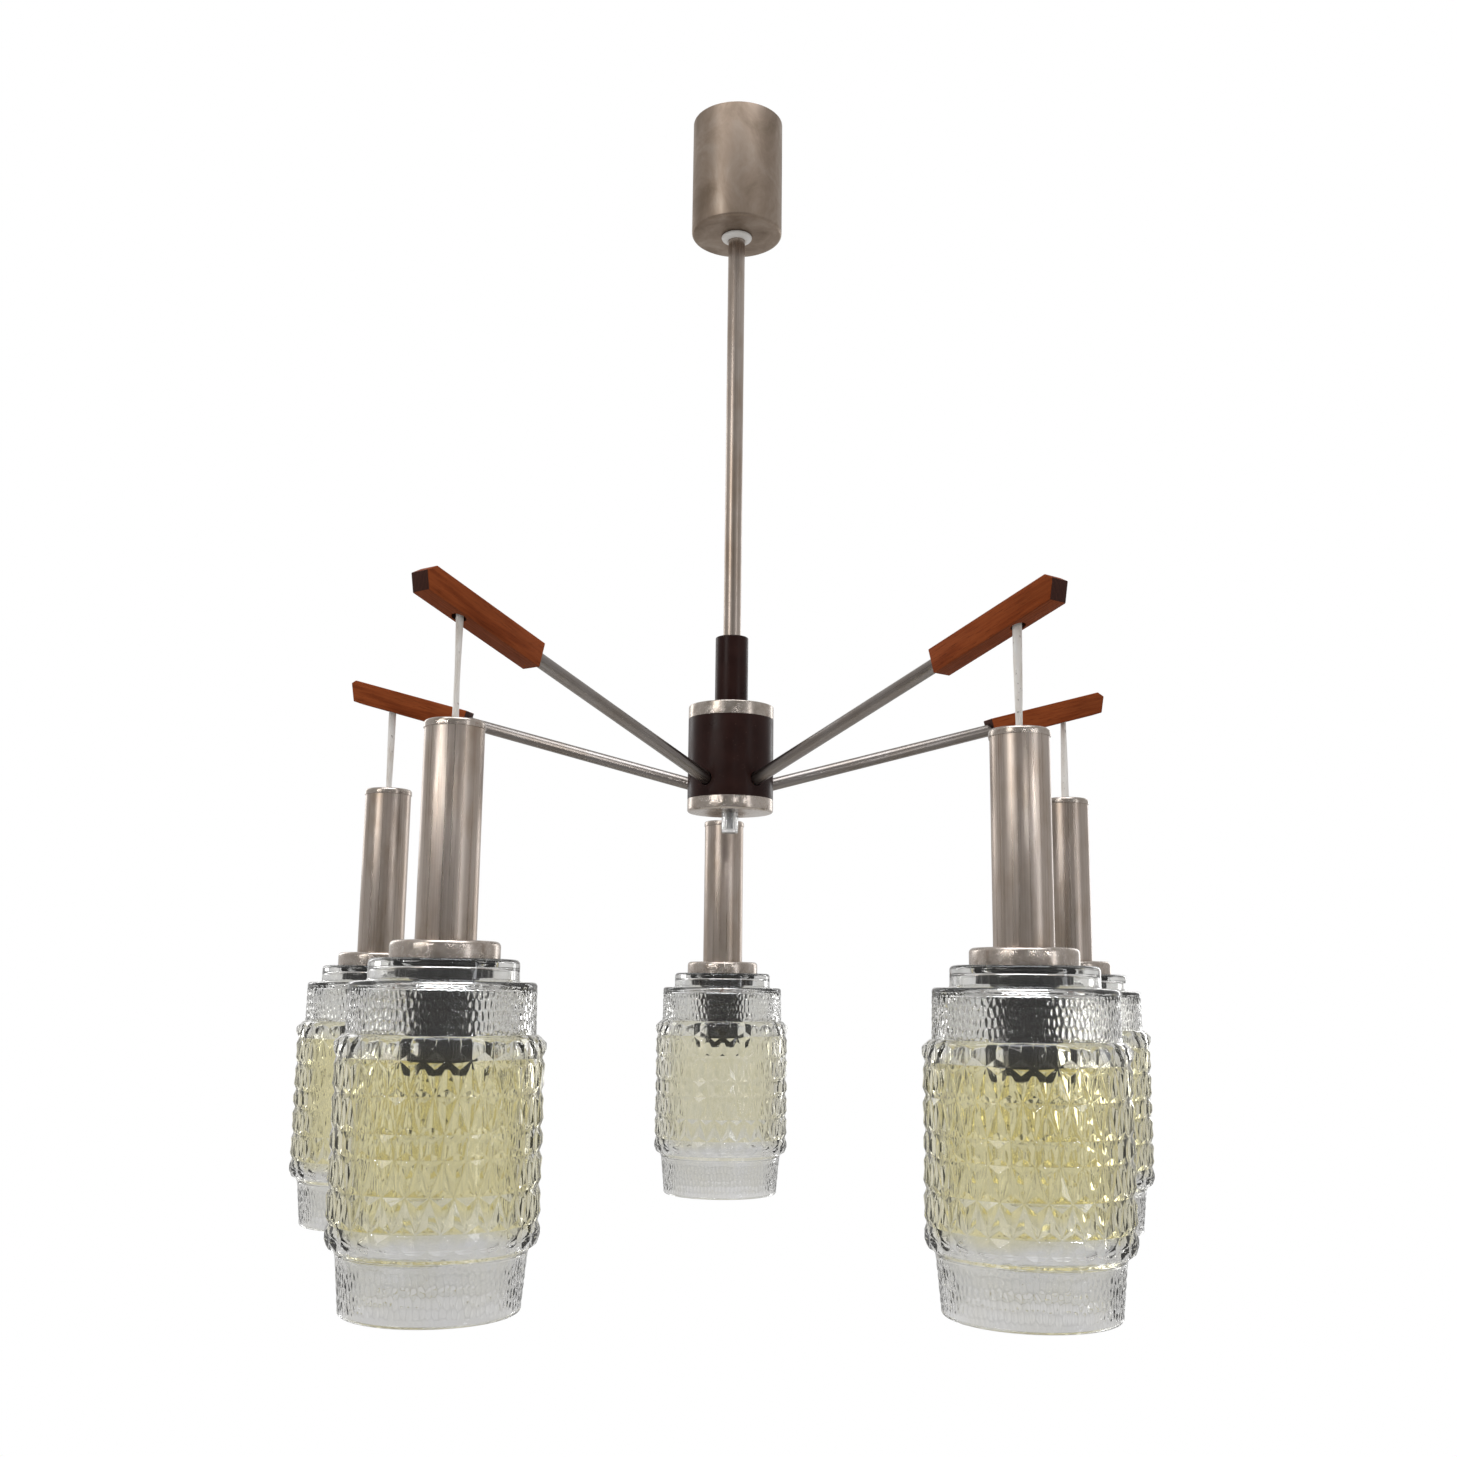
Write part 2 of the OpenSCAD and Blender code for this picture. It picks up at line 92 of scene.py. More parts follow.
# Pendants
CAP_R = 19.6 * MM
COVER_R = 19 * MM
GALLERY_R = 34 * MM
HOLDER_R = 21.5 * MM
HOLDER_WALL = 2 * MM
HOLDER_LIP_R = 25 * MM
LAMP_R = 13.3 * MM
THREAD_PITCH, THREAD_DEPTH = 3.6 * MM, 0.8 * MM
CONTACT_R = 3 * MM
NIPPLE_R = 5 * MM
LEAD_R = 2.6 * MM
RING_R = 30 * MM

# ---- Studio, in metres and degrees ----
CAMERA_PLACE = (-0.002, -1.194, -0.734)
CAMERA_LENS, CAMERA_SENSOR = 37.4, 36
CAMERA_TURN, CAMERA_TILT, CAMERA_ROLL = -0.95, 9.9, 0.69
FLOOR_Z, FLOOR_R = -2.4, 2.6
LAMP_AIM = (0, 0, -0.55)
# Brightness of the room before and behind the object
FRONT_GREY, BACK_GREY = 0.34, 0.76
# Small spots round the front that only the glass's edges pick up
SPOT_TURNS = [-52, -26, 12, 38]
SPOT_PLACE, SPOT_AIM = (0, -1.9, -0.3), (0, 0, -0.9)
SPOT_SPREAD = 26
WARM, COOL, SKY = (1, 0.97, 0.93), (0.95, 0.97, 1), (0.93, 0.96, 1)

# ---- Shade, in millimetres from the glass's top ----
CELLS = 28
CELL_STEPS = 24
SIDES = CELLS * CELL_STEPS
GLASS = 4
NECK_R, NECK_H = 46.2, 13.7
BAND_R, BAND_H = 57.3, 31.9
SHOULDER_R = 59.5
FACET_R, GROOVE_R = 63.6, 61.9
FIRST_ROW_PROUD = 0.6
BEVEL_H = 4.8
ROWS = [13.2, 20.2, 21, 14, 20.2, 20.2, 13.2]
SHORT_ROWS = (0, 3, 6)
SKIRT_R, RIM_R, SKIRT_H = 56.6, 53.7, 38.9
RIM_ROUND = 2
FACET_EDGE = 0.45
PEBBLE_W, PEBBLE_H = 3.6, 6.1
# How far each bell is screwed round, and how strong its stain is
SHADE_TURNS = [0, 40, 75, 110, 160]
SHADE_STAINS = [0.55, 1, 1, 1, 1]
CLEAR, STAIN = (0.955, 0.96, 0.965), (0.955, 0.925, 0.73)

LOOKS = {}


# ---- Camera, backdrop and lights ----

def make_camera():
    lens = bpy.data.cameras.new("camera")
    lens.sensor_width = CAMERA_SENSOR
    lens.lens = CAMERA_LENS
    camera = bpy.data.objects.new("camera", lens)
    scene.collection.objects.link(camera)
    tilt = Matrix.Rotation(radians(90 + CAMERA_TILT), 4, "X")
    aim = tilt @ Matrix.Rotation(radians(CAMERA_ROLL), 4, "Z")
    turn = Matrix.Rotation(radians(CAMERA_TURN), 4, "Z")
    camera.matrix_world = turn @ Matrix.Translation(CAMERA_PLACE) @ aim
    scene.camera = camera


def area_light(name, place, size, power, colour=(1, 1, 1), target=LAMP_AIM):
    lamp = bpy.data.lights.new(name, "AREA")
    lamp.shape = "RECTANGLE"
    lamp.size, lamp.size_y = size
    lamp.energy = power
    lamp.color = colour
    light = bpy.data.objects.new(name, lamp)
    light.location = place
    aim = Vector(target) - Vector(place)
    light.rotation_euler = aim.to_track_quat("-Z", "Y").to_euler()
    scene.collection.objects.link(light)
    return light


def make_lights():
    area_light("key_softbox", (-1.7, -1.9, 0.35), (0.8, 1.3), 10, WARM)
    area_light("fill_strip", (1.9, -1.6, -0.4), (0.16, 1.6), 3.5, COOL)
    for turn in SPOT_TURNS:
        place = Matrix.Rotation(radians(turn), 4, "Z") @ Vector(SPOT_PLACE)
        spot = area_light("glass_spot", place, (0.12, 0.05), 0.04, COOL, SPOT_AIM)
        spot.data.spread = radians(SPOT_SPREAD)
    area_light("back_left", (-1.6, 1.6, 0.1), (0.5, 1.2), 5)
    area_light("back_right", (1.5, 1.9, -0.2), (0.4, 1.4), 5)
    area_light("top_softbox", (0.0, -0.45, 1.1), (1.7, 0.9), 24, SKY)


def make_world():
    """White to the camera, and a soft grey room to everything else: paler behind the object, with
    darker upright bands that the metal reflects as lengthwise lines"""
    world = bpy.data.worlds.new("studio")
    scene.world = world
    world.use_nodes = True
    studio = Nodes(world.node_tree)
    studio.nodes.clear()
    bands = studio.noise(studio.coords((1, 1, 0.08), "Generated"), 3.2, detail=3)
    sides = studio.split(studio.coords(space="Generated"))
    depth = studio.spread(sides["Y"], FRONT_GREY, BACK_GREY, -1, 1)
    height = studio.spread(sides["Z"], 0.86, 1.0, -0.9, 0.5)
    tone = studio.math("MULTIPLY", studio.math("MULTIPLY", depth, height),
                       studio.spread(bands, 0.82, 1.08, 0.38, 0.62))
    room = studio.node("Background", Color=(1, 0.99, 0.98, 1), Strength=tone)
    plain = studio.node("Background", Color=(1, 1, 1, 1))
    rays = studio.node("LightPath")
    either = studio.node("MixShader")
    out = studio.node("OutputWorld")
    studio.link(rays.outputs["Is Camera Ray"], either.inputs[0])
    studio.link(room.outputs[0], either.inputs[1])
    studio.link(plain.outputs[0], either.inputs[2])
    studio.link(either.outputs[0], out.inputs["Surface"])


def make_floor():
    """A pale floor at a room's height below the ceiling"""
    mesh = bpy.data.meshes.new("floor")
    shape = bmesh.new()
    bmesh.ops.create_circle(shape, cap_ends=True, segments=96, radius=FLOOR_R)
    shape.to_mesh(mesh)
    shape.free()
    ground = bpy.data.objects.new("floor", mesh)
    ground.location = (0, 0, FLOOR_Z)
    scene.collection.objects.link(ground)
    look = Look("pale_floor", {"Roughness": 0.8})
    cloud = look.noise(look.coords(), 3, detail=3)
    look.colour(cloud, [(0.3, (0.80, 0.79, 0.77)), (0.7, (0.86, 0.85, 0.83))])
    mesh.materials.append(look.material)


# ---- Node shorthand ----

class Nodes:
    """A node tree and short calls that add the nodes it needs"""

    def __init__(self, tree):
        self.nodes = tree.nodes
        self.link = tree.links.new

    def node(self, kind, **inputs):
        """A new node. Each input, with _ for the space in its name, is a value or an output"""
        step = self.nodes.new(f"ShaderNode{kind}")
        for name, value in inputs.items():
            socket = step.inputs[name.replace("_", " ")]
            if isinstance(value, bpy.types.NodeSocket):
                self.link(value, socket)
            else:
                socket.default_value = value
        return step

    def coords(self, scale=(1, 1, 1), space="Object"):
        where = self.node("TexCoord").outputs[space]
        return self.node("Mapping", Vector=where, Scale=scale).outputs[0]

    def split(self, vector):
        return self.node("SeparateXYZ", Vector=vector).outputs

    def around(self, ring=1.0, height=1.0):
        """(distance from Z, height) as a vector, for marks that run round the object"""
        sides = self.split(self.coords())
        squares = [self.math("MULTIPLY", sides[k], sides[k]) for k in ("X", "Y")]
        radius = self.math("SQRT", self.math("ADD", *squares))
        return self.node("CombineXYZ", X=self.math("MULTIPLY", radius, ring),
                         Z=self.math("MULTIPLY", sides["Z"], height)).outputs[0]

    def attribute(self, name):
        value = self.node("Attribute")
        value.attribute_name = name
        return value.outputs["Fac"]

    def noise(self, vector, scale, detail=2.0, roughness=0.5, distortion=0.0):
        return self.node("TexNoise", Vector=vector, Scale=scale, Detail=detail,
                         Roughness=roughness, Distortion=distortion).outputs["Fac"]

    def cells(self, vector, scale):
        return self.node("TexVoronoi", Vector=vector, Scale=scale).outputs["Distance"]

    def wave(self, vector, scale, distortion, detail=2.0, detail_scale=1.0):
        texture = self.node("TexWave", Vector=vector, Scale=scale, Distortion=distortion,
                            Detail=detail, Detail_Scale=detail_scale)
        texture.bands_direction = "Y"
        return texture.outputs["Fac"]

    def math(self, operation, *values):
        step = self.nodes.new("ShaderNodeMath")
        step.operation = operation
        for socket, value in zip(step.inputs, values):
            if isinstance(value, (int, float)):
                socket.default_value = value
            else:
                self.link(value, socket)
        return step.outputs[0]

    def spread(self, value, low, high, start=0.0, end=1.0):
        """Maps a value that runs from start to end onto low to high"""
        return self.node("MapRange", Value=value, From_Min=start, From_Max=end, To_Min=low,
                         To_Max=high).outputs[0]

    def ramp(self, value, stops):
        """A colour ramp from (place, colour) pairs"""
        step = self.nodes.new("ShaderNodeValToRGB")
        elements = step.color_ramp.elements
        while len(elements) < len(stops):
            elements.new(0.5)
        for element, (place, colour) in zip(elements, stops):
            element.position = place
            element.color = (*colour, 1)
        self.link(value, step.inputs[0])
        return step.outputs["Color"]

    def mix(self, share, first, second, blend="MIX"):
        step = self.nodes.new("ShaderNodeMix")
        step.data_type = "RGBA"
        step.blend_type = blend
        sockets = [s for s in step.inputs if s.enabled]
        for socket, value in zip(sockets, (share, first, second)):
            if isinstance(value, (int, float)):
                socket.default_value = value
            elif isinstance(value, tuple):
                socket.default_value = (*value, 1)
            else:
                self.link(value, socket)
        return [s for s in step.outputs if s.enabled][0]


class Look(Nodes):
    """One Principled material"""

    def __init__(self, name, constants):
        self.material = bpy.data.materials.new(name)
        self.material.use_nodes = True
        super().__init__(self.material.node_tree)
        self.shader = self.nodes["Principled BSDF"]
        for socket, value in constants.items():
            self.shader.inputs[socket].default_value = value

    def colour(self, value, stops):
        self.feed("Base Color", self.ramp(value, stops))

    def feed(self, socket, value):
        self.link(value, self.shader.inputs[socket])

    def bump(self, height, strength, distance):
        step = self.node("Bump", Height=height, Strength=strength, Distance=distance)
        self.feed("Normal", step.outputs[0])


# ---- Materials ----

def satin_nickel(name, low, high):
    """Drawn along the object's Z, with fine lengthwise lines and faint brown tarnish"""
    look = Look(name, {"Metallic": 1.0, "Anisotropic": 0.35})
    drawn = look.noise(look.coords((900, 900, 5)), 1, detail=3)
    stain = look.noise(look.coords((60, 60, 22)), 1, detail=4, roughness=0.6)
    pits = look.cells(look.coords((420, 420, 300)), 1)
    clean = look.ramp(drawn, [(0.25, low), (0.75, high)])
    brown = look.ramp(stain, [(0.42, (1, 1, 1)), (0.7, (0.80, 0.74, 0.67))])
    tone = look.mix(1.0, clean, brown, "MULTIPLY")
    specks = look.ramp(pits, [(0.03, (0.62, 0.56, 0.50)), (0.07, (1, 1, 1))])
    look.feed("Base Color", look.mix(0.6, tone, specks, "MULTIPLY"))
    look.feed("Roughness", look.spread(drawn, 0.25, 0.34, 0.25, 0.75))
    look.bump(drawn, 0.01, 0.0002)
    return look.material


def polished_nickel():
    """Spun and polished, with faint rings and small marks"""
    look = Look("polished_nickel", {"Metallic": 1.0})
    rings = look.noise(look.around(900, 900), 1, detail=2)
    marks = look.noise(look.coords(), 120, detail=5, roughness=0.7)
    look.colour(marks, [(0.35, (0.42, 0.36, 0.31)), (0.6, (0.56, 0.50, 0.45))])
    look.feed("Roughness", look.spread(marks, 0.19, 0.33, 0.3, 0.75))
    look.bump(rings, 0.05, 0.0001)
    return look.material


def tarnished_nickel():
    """Matt brown-grey plate in soft blotches, rubbed lighter in places"""
    look = Look("tarnished_nickel", {"Metallic": 0.85})
    blotch = look.noise(look.coords((1, 1, 0.7)), 34, detail=5, roughness=0.62, distortion=0.6)
    grain = look.noise(look.coords(), 420, detail=3)
    runs = look.noise(look.coords((70, 70, 9)), 1, detail=3)
    tone = look.ramp(blotch, [(0.3, (0.22, 0.165, 0.12)), (0.5, (0.32, 0.25, 0.195)),
                              (0.72, (0.42, 0.35, 0.29))])
    streak = look.ramp(runs, [(0.35, (0.86, 0.84, 0.82)), (0.7, (1, 1, 1))])
    look.feed("Base Color", look.mix(0.8, tone, streak, "MULTIPLY"))
    look.feed("Roughness", look.spread(blotch, 0.52, 0.36, 0.3, 0.7))
    look.bump(grain, 0.12, 0.0002)
    return look.material


def dark_lacquer():
    """Near-black brown lacquer with dust specks under a gloss coat"""
    look = Look("dark_lacquer", {"Specular IOR Level": 0.16})
    cloud = look.noise(look.coords(), 60, detail=4)
    specks = look.cells(look.coords((300, 300, 240)), 1)
    base = look.ramp(cloud, [(0.3, (0.016, 0.0042, 0.0030)), (0.7, (0.027, 0.0085, 0.0062))])
    dust = look.ramp(specks, [(0.05, (0.06, 0.04, 0.03)), (0.10, (0, 0, 0))])
    look.feed("Base Color", look.mix(1.0, base, dust, "ADD"))
    look.feed("Roughness", look.spread(cloud, 0.26, 0.42, 0.3, 0.7))
    look.bump(look.noise(look.coords(), 260, detail=2), 0.05, 0.0003)
    return look.material


def teak(name, dark, mid, light, shine):
    """Oiled teak with its grain along X"""
    look = Look(name, {"Specular IOR Level": 0.04})
    grain = look.wave(look.coords((9, 150, 120)), 1.0, 7.0, detail=3, detail_scale=1.4)
    fibre = look.noise(look.coords((40, 900, 900)), 1, detail=4, roughness=0.65)
    pores = look.noise(look.coords((110, 2600, 2600)), 1, detail=2)
    cloud = look.noise(look.coords((14, 60, 60)), 1, detail=3)
    bands = look.ramp(grain, [(0.0, dark), (0.55, mid), (1.0, light)])
    patches = look.ramp(cloud, [(0.3, (0.80, 0.78, 0.76)), (0.7, (1.12, 1.1, 1.08))])
    wood = look.mix(0.9, look.mix(0.5, bands, mid), patches, "MULTIPLY")
    fibres = look.ramp(fibre, [(0.32, (0.74, 0.70, 0.68)), (0.62, (1, 1, 1))])
    wood = look.mix(0.7, wood, fibres, "MULTIPLY")
    holes = look.ramp(pores, [(0.30, (0.42, 0.36, 0.32)), (0.40, (1, 1, 1))])
    look.feed("Base Color", look.mix(0.75, wood, holes, "MULTIPLY"))
    look.feed("Roughness", look.spread(fibre, shine + 0.14, shine, 0.3, 0.7))
    look.bump(look.math("ADD", fibre, look.spread(pores, 0.0, 0.7, 0.3, 0.42)), 0.22, 0.0003)
    return look.material


def end_grain():
    """Sawn end of a teak block: dark, rings cut across and open pores"""
    look = Look("teak_end_grain", {"Specular IOR Level": 0.08})
    rings = look.wave(look.coords((1, 260, 340)), 1.0, 3.0, detail=3)
    pores = look.cells(look.coords((200, 1100, 1100)), 1)
    tone = look.ramp(rings, [(0.2, (0.032, 0.0125, 0.0095)), (0.9, (0.085, 0.033, 0.023))])
    dots = look.ramp(pores, [(0.10, (0.4, 0.35, 0.3)), (0.25, (1, 1, 1))])
    look.feed("Base Color", look.mix(0.7, tone, dots, "MULTIPLY"))
    look.feed("Roughness", look.spread(rings, 0.5, 0.66))
    look.bump(pores, 0.2, 0.0002)
    return look.material


def cord_pvc():
    """Aged flat cord: cream with warm dirt along its folds and a few dark scuffs"""
    look = Look("cord_pvc", {"Specular IOR Level": 0.45})
    dirt = look.noise(look.coords((160, 160, 40)), 1, detail=4, roughness=0.6)
    scuffs = look.noise(look.coords((520, 520, 260)), 1, detail=3)
    tone = look.ramp(dirt, [(0.25, (0.69, 0.62, 0.54)), (0.5, (0.88, 0.84, 0.79)),
                            (0.75, (0.92, 0.91, 0.89))])
    marks = look.ramp(scuffs, [(0.27, (0.25, 0.22, 0.2)), (0.34, (1, 1, 1))])
    look.feed("Base Color", look.mix(0.75, tone, marks, "MULTIPLY"))
    look.feed("Roughness", look.spread(dirt, 0.5, 0.36, 0.3, 0.7))
    look.bump(look.noise(look.coords((300, 300, 120)), 1, detail=2), 0.08, 0.0003)
    return look.material


def moulded(name, low, high, roughness, grain=300, shader=None):
    """Moulded plastic, bakelite or ceramic: slight tone drift, satin skin, fine texture"""
    look = Look(name, shader or {})
    cloud = look.noise(look.coords(), 70, detail=4)
    look.colour(cloud, [(0.3, low), (0.7, high)])
    look.feed("Roughness", look.spread(cloud, roughness + 0.08, roughness, 0.3, 0.7))
    look.bump(look.noise(look.coords(), grain, detail=2), 0.06, 0.0003)
    return look.material


def machined(name, low, high, roughness):
    """Turned or plated metal fittings, with tool rings and slight oxide"""
    look = Look(name, {"Metallic": 1.0})
    oxide = look.noise(look.coords(), 150, detail=4, roughness=0.6)
    rings = look.noise(look.coords((40, 40, 1500)), 1, detail=2)
    look.colour(oxide, [(0.3, low), (0.7, high)])
    look.feed("Roughness", look.spread(oxide, roughness + 0.12, roughness, 0.3, 0.7))
    look.bump(rings, 0.08, 0.0002)
    return look.material


def pressed_glass():
    """Thick pressed glass, fire-polished. Its facets carry a pale yellow stain that fades out in
    the first and the last row, as strong as the mesh's own "stain" says. The creases between the
    hammered pebbles are darkened a little as painted shade. The object's origin is at the glass's top"""
    look = Look("pressed_glass", {"Transmission Weight": 0.985, "IOR": 1.5})
    cloud = look.noise(look.coords(), 45, detail=3)
    height = look.split(look.coords())["Z"]
    edge = look.math("ADD", height, look.spread(cloud, -3 * MM, 3 * MM, 0.3, 0.7))
    share = look.spread(edge, 1, 0, -0.168, -0.045)
    stain = look.ramp(share, [(0.0, CLEAR), (0.03, CLEAR), (0.13, STAIN), (0.885, STAIN),
                              (0.955, CLEAR)])
    stain = look.mix(look.attribute("stain"), CLEAR, stain)
    drift = look.ramp(cloud, [(0.3, (1, 1, 1)), (0.7, (0.985, 0.975, 0.93))])
    # Painted shade: the glass is a little darker in the creases between the hammered pebbles
    pressed = look.ramp(look.attribute("crease"), [(0.6, (1, 1, 1)), (1.0, (0.80, 0.795, 0.79))])
    tone = look.mix(1.0, stain, drift, "MULTIPLY")
    look.feed("Base Color", look.mix(1.0, tone, pressed, "MULTIPLY"))
    polish = look.noise(look.coords(), 480, detail=3)
    look.feed("Roughness", look.spread(polish, 0.02, 0.07, 0.35, 0.75))
    look.bump(look.noise(look.coords((260, 260, 160)), 1, detail=2), 0.12, 0.0004)
    return look.material


def clear_plastic():
    """Slightly hazy clear plastic"""
    look = Look("clear_plastic", {"Transmission Weight": 0.92, "IOR": 1.49})
    haze = look.noise(look.coords(), 200, detail=3)
    look.colour(haze, [(0.3, (0.80, 0.80, 0.79)), (0.7, (0.93, 0.93, 0.93))])
    look.feed("Roughness", look.spread(haze, 0.10, 0.24, 0.3, 0.7))
    look.bump(haze, 0.05, 0.0002)
    return look.material


def make_materials():
    LOOKS.update(
        satin_nickel=satin_nickel("satin_nickel", (0.41, 0.345, 0.30), (0.56, 0.49, 0.435)),
        # arm_nickel: the arms' satin nickel made darker and more neutral. The darkness is painted shade
        # standing in for less bright room reflected on the arms; the neutral tone is the arms' own
        arm_nickel=satin_nickel("arm_nickel", (0.24, 0.215, 0.20), (0.34, 0.315, 0.30)),
        polished_nickel=polished_nickel(), tarnished_nickel=tarnished_nickel(),
        dark_lacquer=dark_lacquer(), cord_pvc=cord_pvc(), clear_plastic=clear_plastic(),
        teak_side=teak("teak_side", (0.15, 0.031, 0.0085), (0.255, 0.057, 0.016),
                       (0.35, 0.09, 0.027), 0.45),
        # teak_under: the same teak in a second tone for the faces that look down, painted light and
        # shade set by face direction
        teak_under=teak("teak_under", (0.15, 0.037, 0.013), (0.24, 0.062, 0.022),
                        (0.32, 0.092, 0.036), 0.5),
        teak_end=end_grain(),
        black_bakelite=moulded("black_bakelite", (0.007, 0.006, 0.0055), (0.013, 0.0115, 0.0105),
                               0.32, 300, {"Specular IOR Level": 0.2}),
        porcelain=moulded("porcelain", (0.70, 0.69, 0.66), (0.78, 0.77, 0.75), 0.2, 120),
        white_plastic=moulded("white_plastic", (0.80, 0.78, 0.74), (0.88, 0.87, 0.85), 0.38),
        ivory_plastic=moulded("ivory_plastic", (0.60, 0.55, 0.43), (0.68, 0.64, 0.53), 0.4),
        cable_sheath=moulded("cable_sheath", (0.55, 0.52, 0.47), (0.64, 0.61, 0.57), 0.42),
        zinc_steel=machined("zinc_steel", (0.40, 0.41, 0.43), (0.56, 0.57, 0.59), 0.3),
        brass=machined("brass", (0.55, 0.38, 0.17), (0.76, 0.57, 0.29), 0.25),
        pressed_glass=pressed_glass(),
    )


# ---- Mesh helpers ----

def rounded(corners, steps=4):
    """Rounds an outline. Each corner is (x, y) or (x, y, radius)"""
    points = []
    for k, corner in enumerate(corners):
        here = Vector(corner[:2])
        radius = corner[2] if len(corner) > 2 else 0
        if radius == 0:
            points.append(here)
            continue
        back = (Vector(corners[k - 1][:2]) - here).normalized()
        ahead = (Vector(corners[(k + 1) % len(corners)][:2]) - here).normalized()
        half = back.angle(ahead) / 2
        centre = here + (back + ahead).normalized() * radius / sin(half)
        first = here + back * radius / tan(half) - centre
        last = here + ahead * radius / tan(half) - centre
        points += [centre + first.lerp(last, j / steps).normalized() * radius for j in range(steps + 1)]
    return points


def polar(radius, angle, z):
    return radius * cos(angle), radius * sin(angle), z


class Shape:
    """Vertices and faces of one mesh under construction"""

    def __init__(self):
        self.points, self.faces, self.flat = [], [], []
        self.creases = {}

    def point(self, x, y, z):
        self.points.append((x, y, z))
        return len(self.points) - 1

    def face(self, corners, flat=False):
        self.faces.append(corners)
        self.flat.append(flat)

    def ring(self, radius, z, sides):
        """A ring of points; a radius of zero gives one point for all sides"""
        if radius < TINY:
            return [self.point(0, 0, z)] * sides
        return [self.point(*polar(radius, TURN * k / sides, z)) for k in range(sides)]

    def strip(self, upper, lower):
        """Faces between two closed rings, facing outward where upper lies above lower"""
        for k in range(len(upper)):
            a, b = upper[k], upper[(k + 1) % len(upper)]
            c, d = lower[(k + 1) % len(lower)], lower[k]
            corners = list(dict.fromkeys((a, d, c, b)))
            if len(corners) > 2:
                self.face(corners)

    def strips(self, rings):
        for upper, lower in zip(rings, rings[1:]):
            self.strip(upper, lower)

    def mesh(self, name, finish, sharp=SHARP):
        mesh = bpy.data.meshes.new(name)
        mesh.from_pydata(self.points, [], self.faces)
        mesh.materials.append(LOOKS[finish])
        mesh.set_sharp_from_angle(angle=radians(sharp))
        mesh.polygons.foreach_set("use_smooth", [not f for f in self.flat])
        # crease: how deep in a crease between pebbles each point lies, which the glass darkens by as
        # painted shade
        if self.creases:
            crease = mesh.attributes.new("crease", "FLOAT", "POINT")
            presses = [self.creases.get(k, 0.0) for k in range(len(self.points))]
            crease.data.foreach_set("value", presses)
        mesh.update()
        return mesh


def lathe(name, outline, finish, sides=96, wobble=None):
    """A closed outline of (radius, height), in order down its outside, turned about Z.
    wobble(angle, radius, height) may give another radius for a point"""
    shape = Shape()
    rings = []
    for radius, z in outline:
        ring = shape.ring(radius, z, sides)
        if wobble and radius > TINY:
            for k, p in enumerate(ring):
                angle = TURN * k / sides
                shape.points[p] = polar(wobble(angle, radius, z), angle, z)
        rings.append(ring)
    for k in range(len(rings)):
        after = (k + 1) % len(rings)
        if outline[k][0] > TINY or outline[after][0] > TINY:
            shape.strip(rings[k], rings[after])
    return shape.mesh(name, finish)


def ribs(count, depth, low_z, high_z, beyond, power=1):
    """A wobble that cuts ribs into what lies past one radius, between two heights"""
    def shift(angle, radius, z):
        cut = radius > beyond and low_z < z < high_z
        return radius - (depth * (0.5 - 0.5 * cos(count * angle)) ** power if cut else 0)
    return shift


def cup(r, h, wall, plate, hole, edge):
    """Outline of a cup that opens downward, its plate at height 0"""
    lip = 0.15 * MM
    inner = max(edge - wall, lip)
    return rounded([(hole, 0, lip), (r, 0, edge), (r, -h, lip), (r - wall, -h, lip),
                    (r - wall, -plate, inner), (hole, -plate, lip)])


def tube(r_out, r_in, low, high, lip=0.2 * MM):
    return rounded([(r_in, high, lip), (r_out, high, lip), (r_out, low, lip), (r_in, low, lip)])


def flip(outline, z):
    """The outline mirrored to open upward, its plate at height z"""
    return [(x, z - y) for x, y in reversed([tuple(p) for p in outline])]


def at_height(outline, z):
    return [(x, y + z) for x, y in outline]


def add(name, mesh, body, replaces, place=Matrix.Identity(4)):
    """One piece: its object, its body and the CAD nodes it stands for, which it hides"""
    piece = bpy.data.objects.new(name, mesh)
    piece.matrix_world = place
    scene.collection.objects.link(piece)
    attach(piece, body)
    if replaces:
        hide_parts(*replaces)
    return piece


def turned(name, outline, finish, body, nodes=(), sides=96, place=Matrix.Identity(4), slot=None,
           wobble=None):
    """One lathed piece. The slot argument is not used"""
    mesh = lathe(name, outline, finish, sides, wobble)
    return add(name, mesh, body, nodes, place)


def boolean(piece, cutter_mesh, place):
    """Cuts a mesh out of a piece and leaves no modifier behind"""
    cutter = bpy.data.objects.new("cutter", cutter_mesh)
    cutter.matrix_world = place
    scene.collection.objects.link(cutter)
    cut = piece.modifiers.new("cut", "BOOLEAN")
    cut.operation = "DIFFERENCE"
    cut.solver = "EXACT"
    cut.object = cutter
    bpy.context.view_layer.update()
    graph = bpy.context.evaluated_depsgraph_get()
    done = bpy.data.meshes.new_from_object(piece.evaluated_get(graph))
    piece.modifiers.clear()
    piece.data = done
    bpy.data.objects.remove(cutter)


# ---- Places ----

def azimuth(i):
    return radians(18 + 72 * i)


def top(node):
    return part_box(node)[1].z


def low(node):
    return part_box(node)[0].z


def arm_place(i):
    """An arm's own frame: X runs outward along the arm tube"""
    lift = low("hub_bottom_cap") + ARM_RISE - HUB_R * tan(ARM_SLOPE)
    return (Matrix.Rotation(azimuth(i), 4, "Z") @ Matrix.Translation((0, 0, lift))
            @ Matrix.Rotation(-ARM_SLOPE, 4, "Y"))


# Along the arm: the cord's hole, the block's inner end and the tube's end inside the block
HOLE_S = (CIRCLE_R - BLOCK.z / 2 * sin(ARM_SLOPE)) / cos(ARM_SLOPE)
BLOCK_START = HOLE_S - BLOCK.x * 2 / 3
ARM_END = HOLE_S - ARM_TO_HOLE
ALONG_X = Matrix.Rotation(pi / 2, 4, "Y")


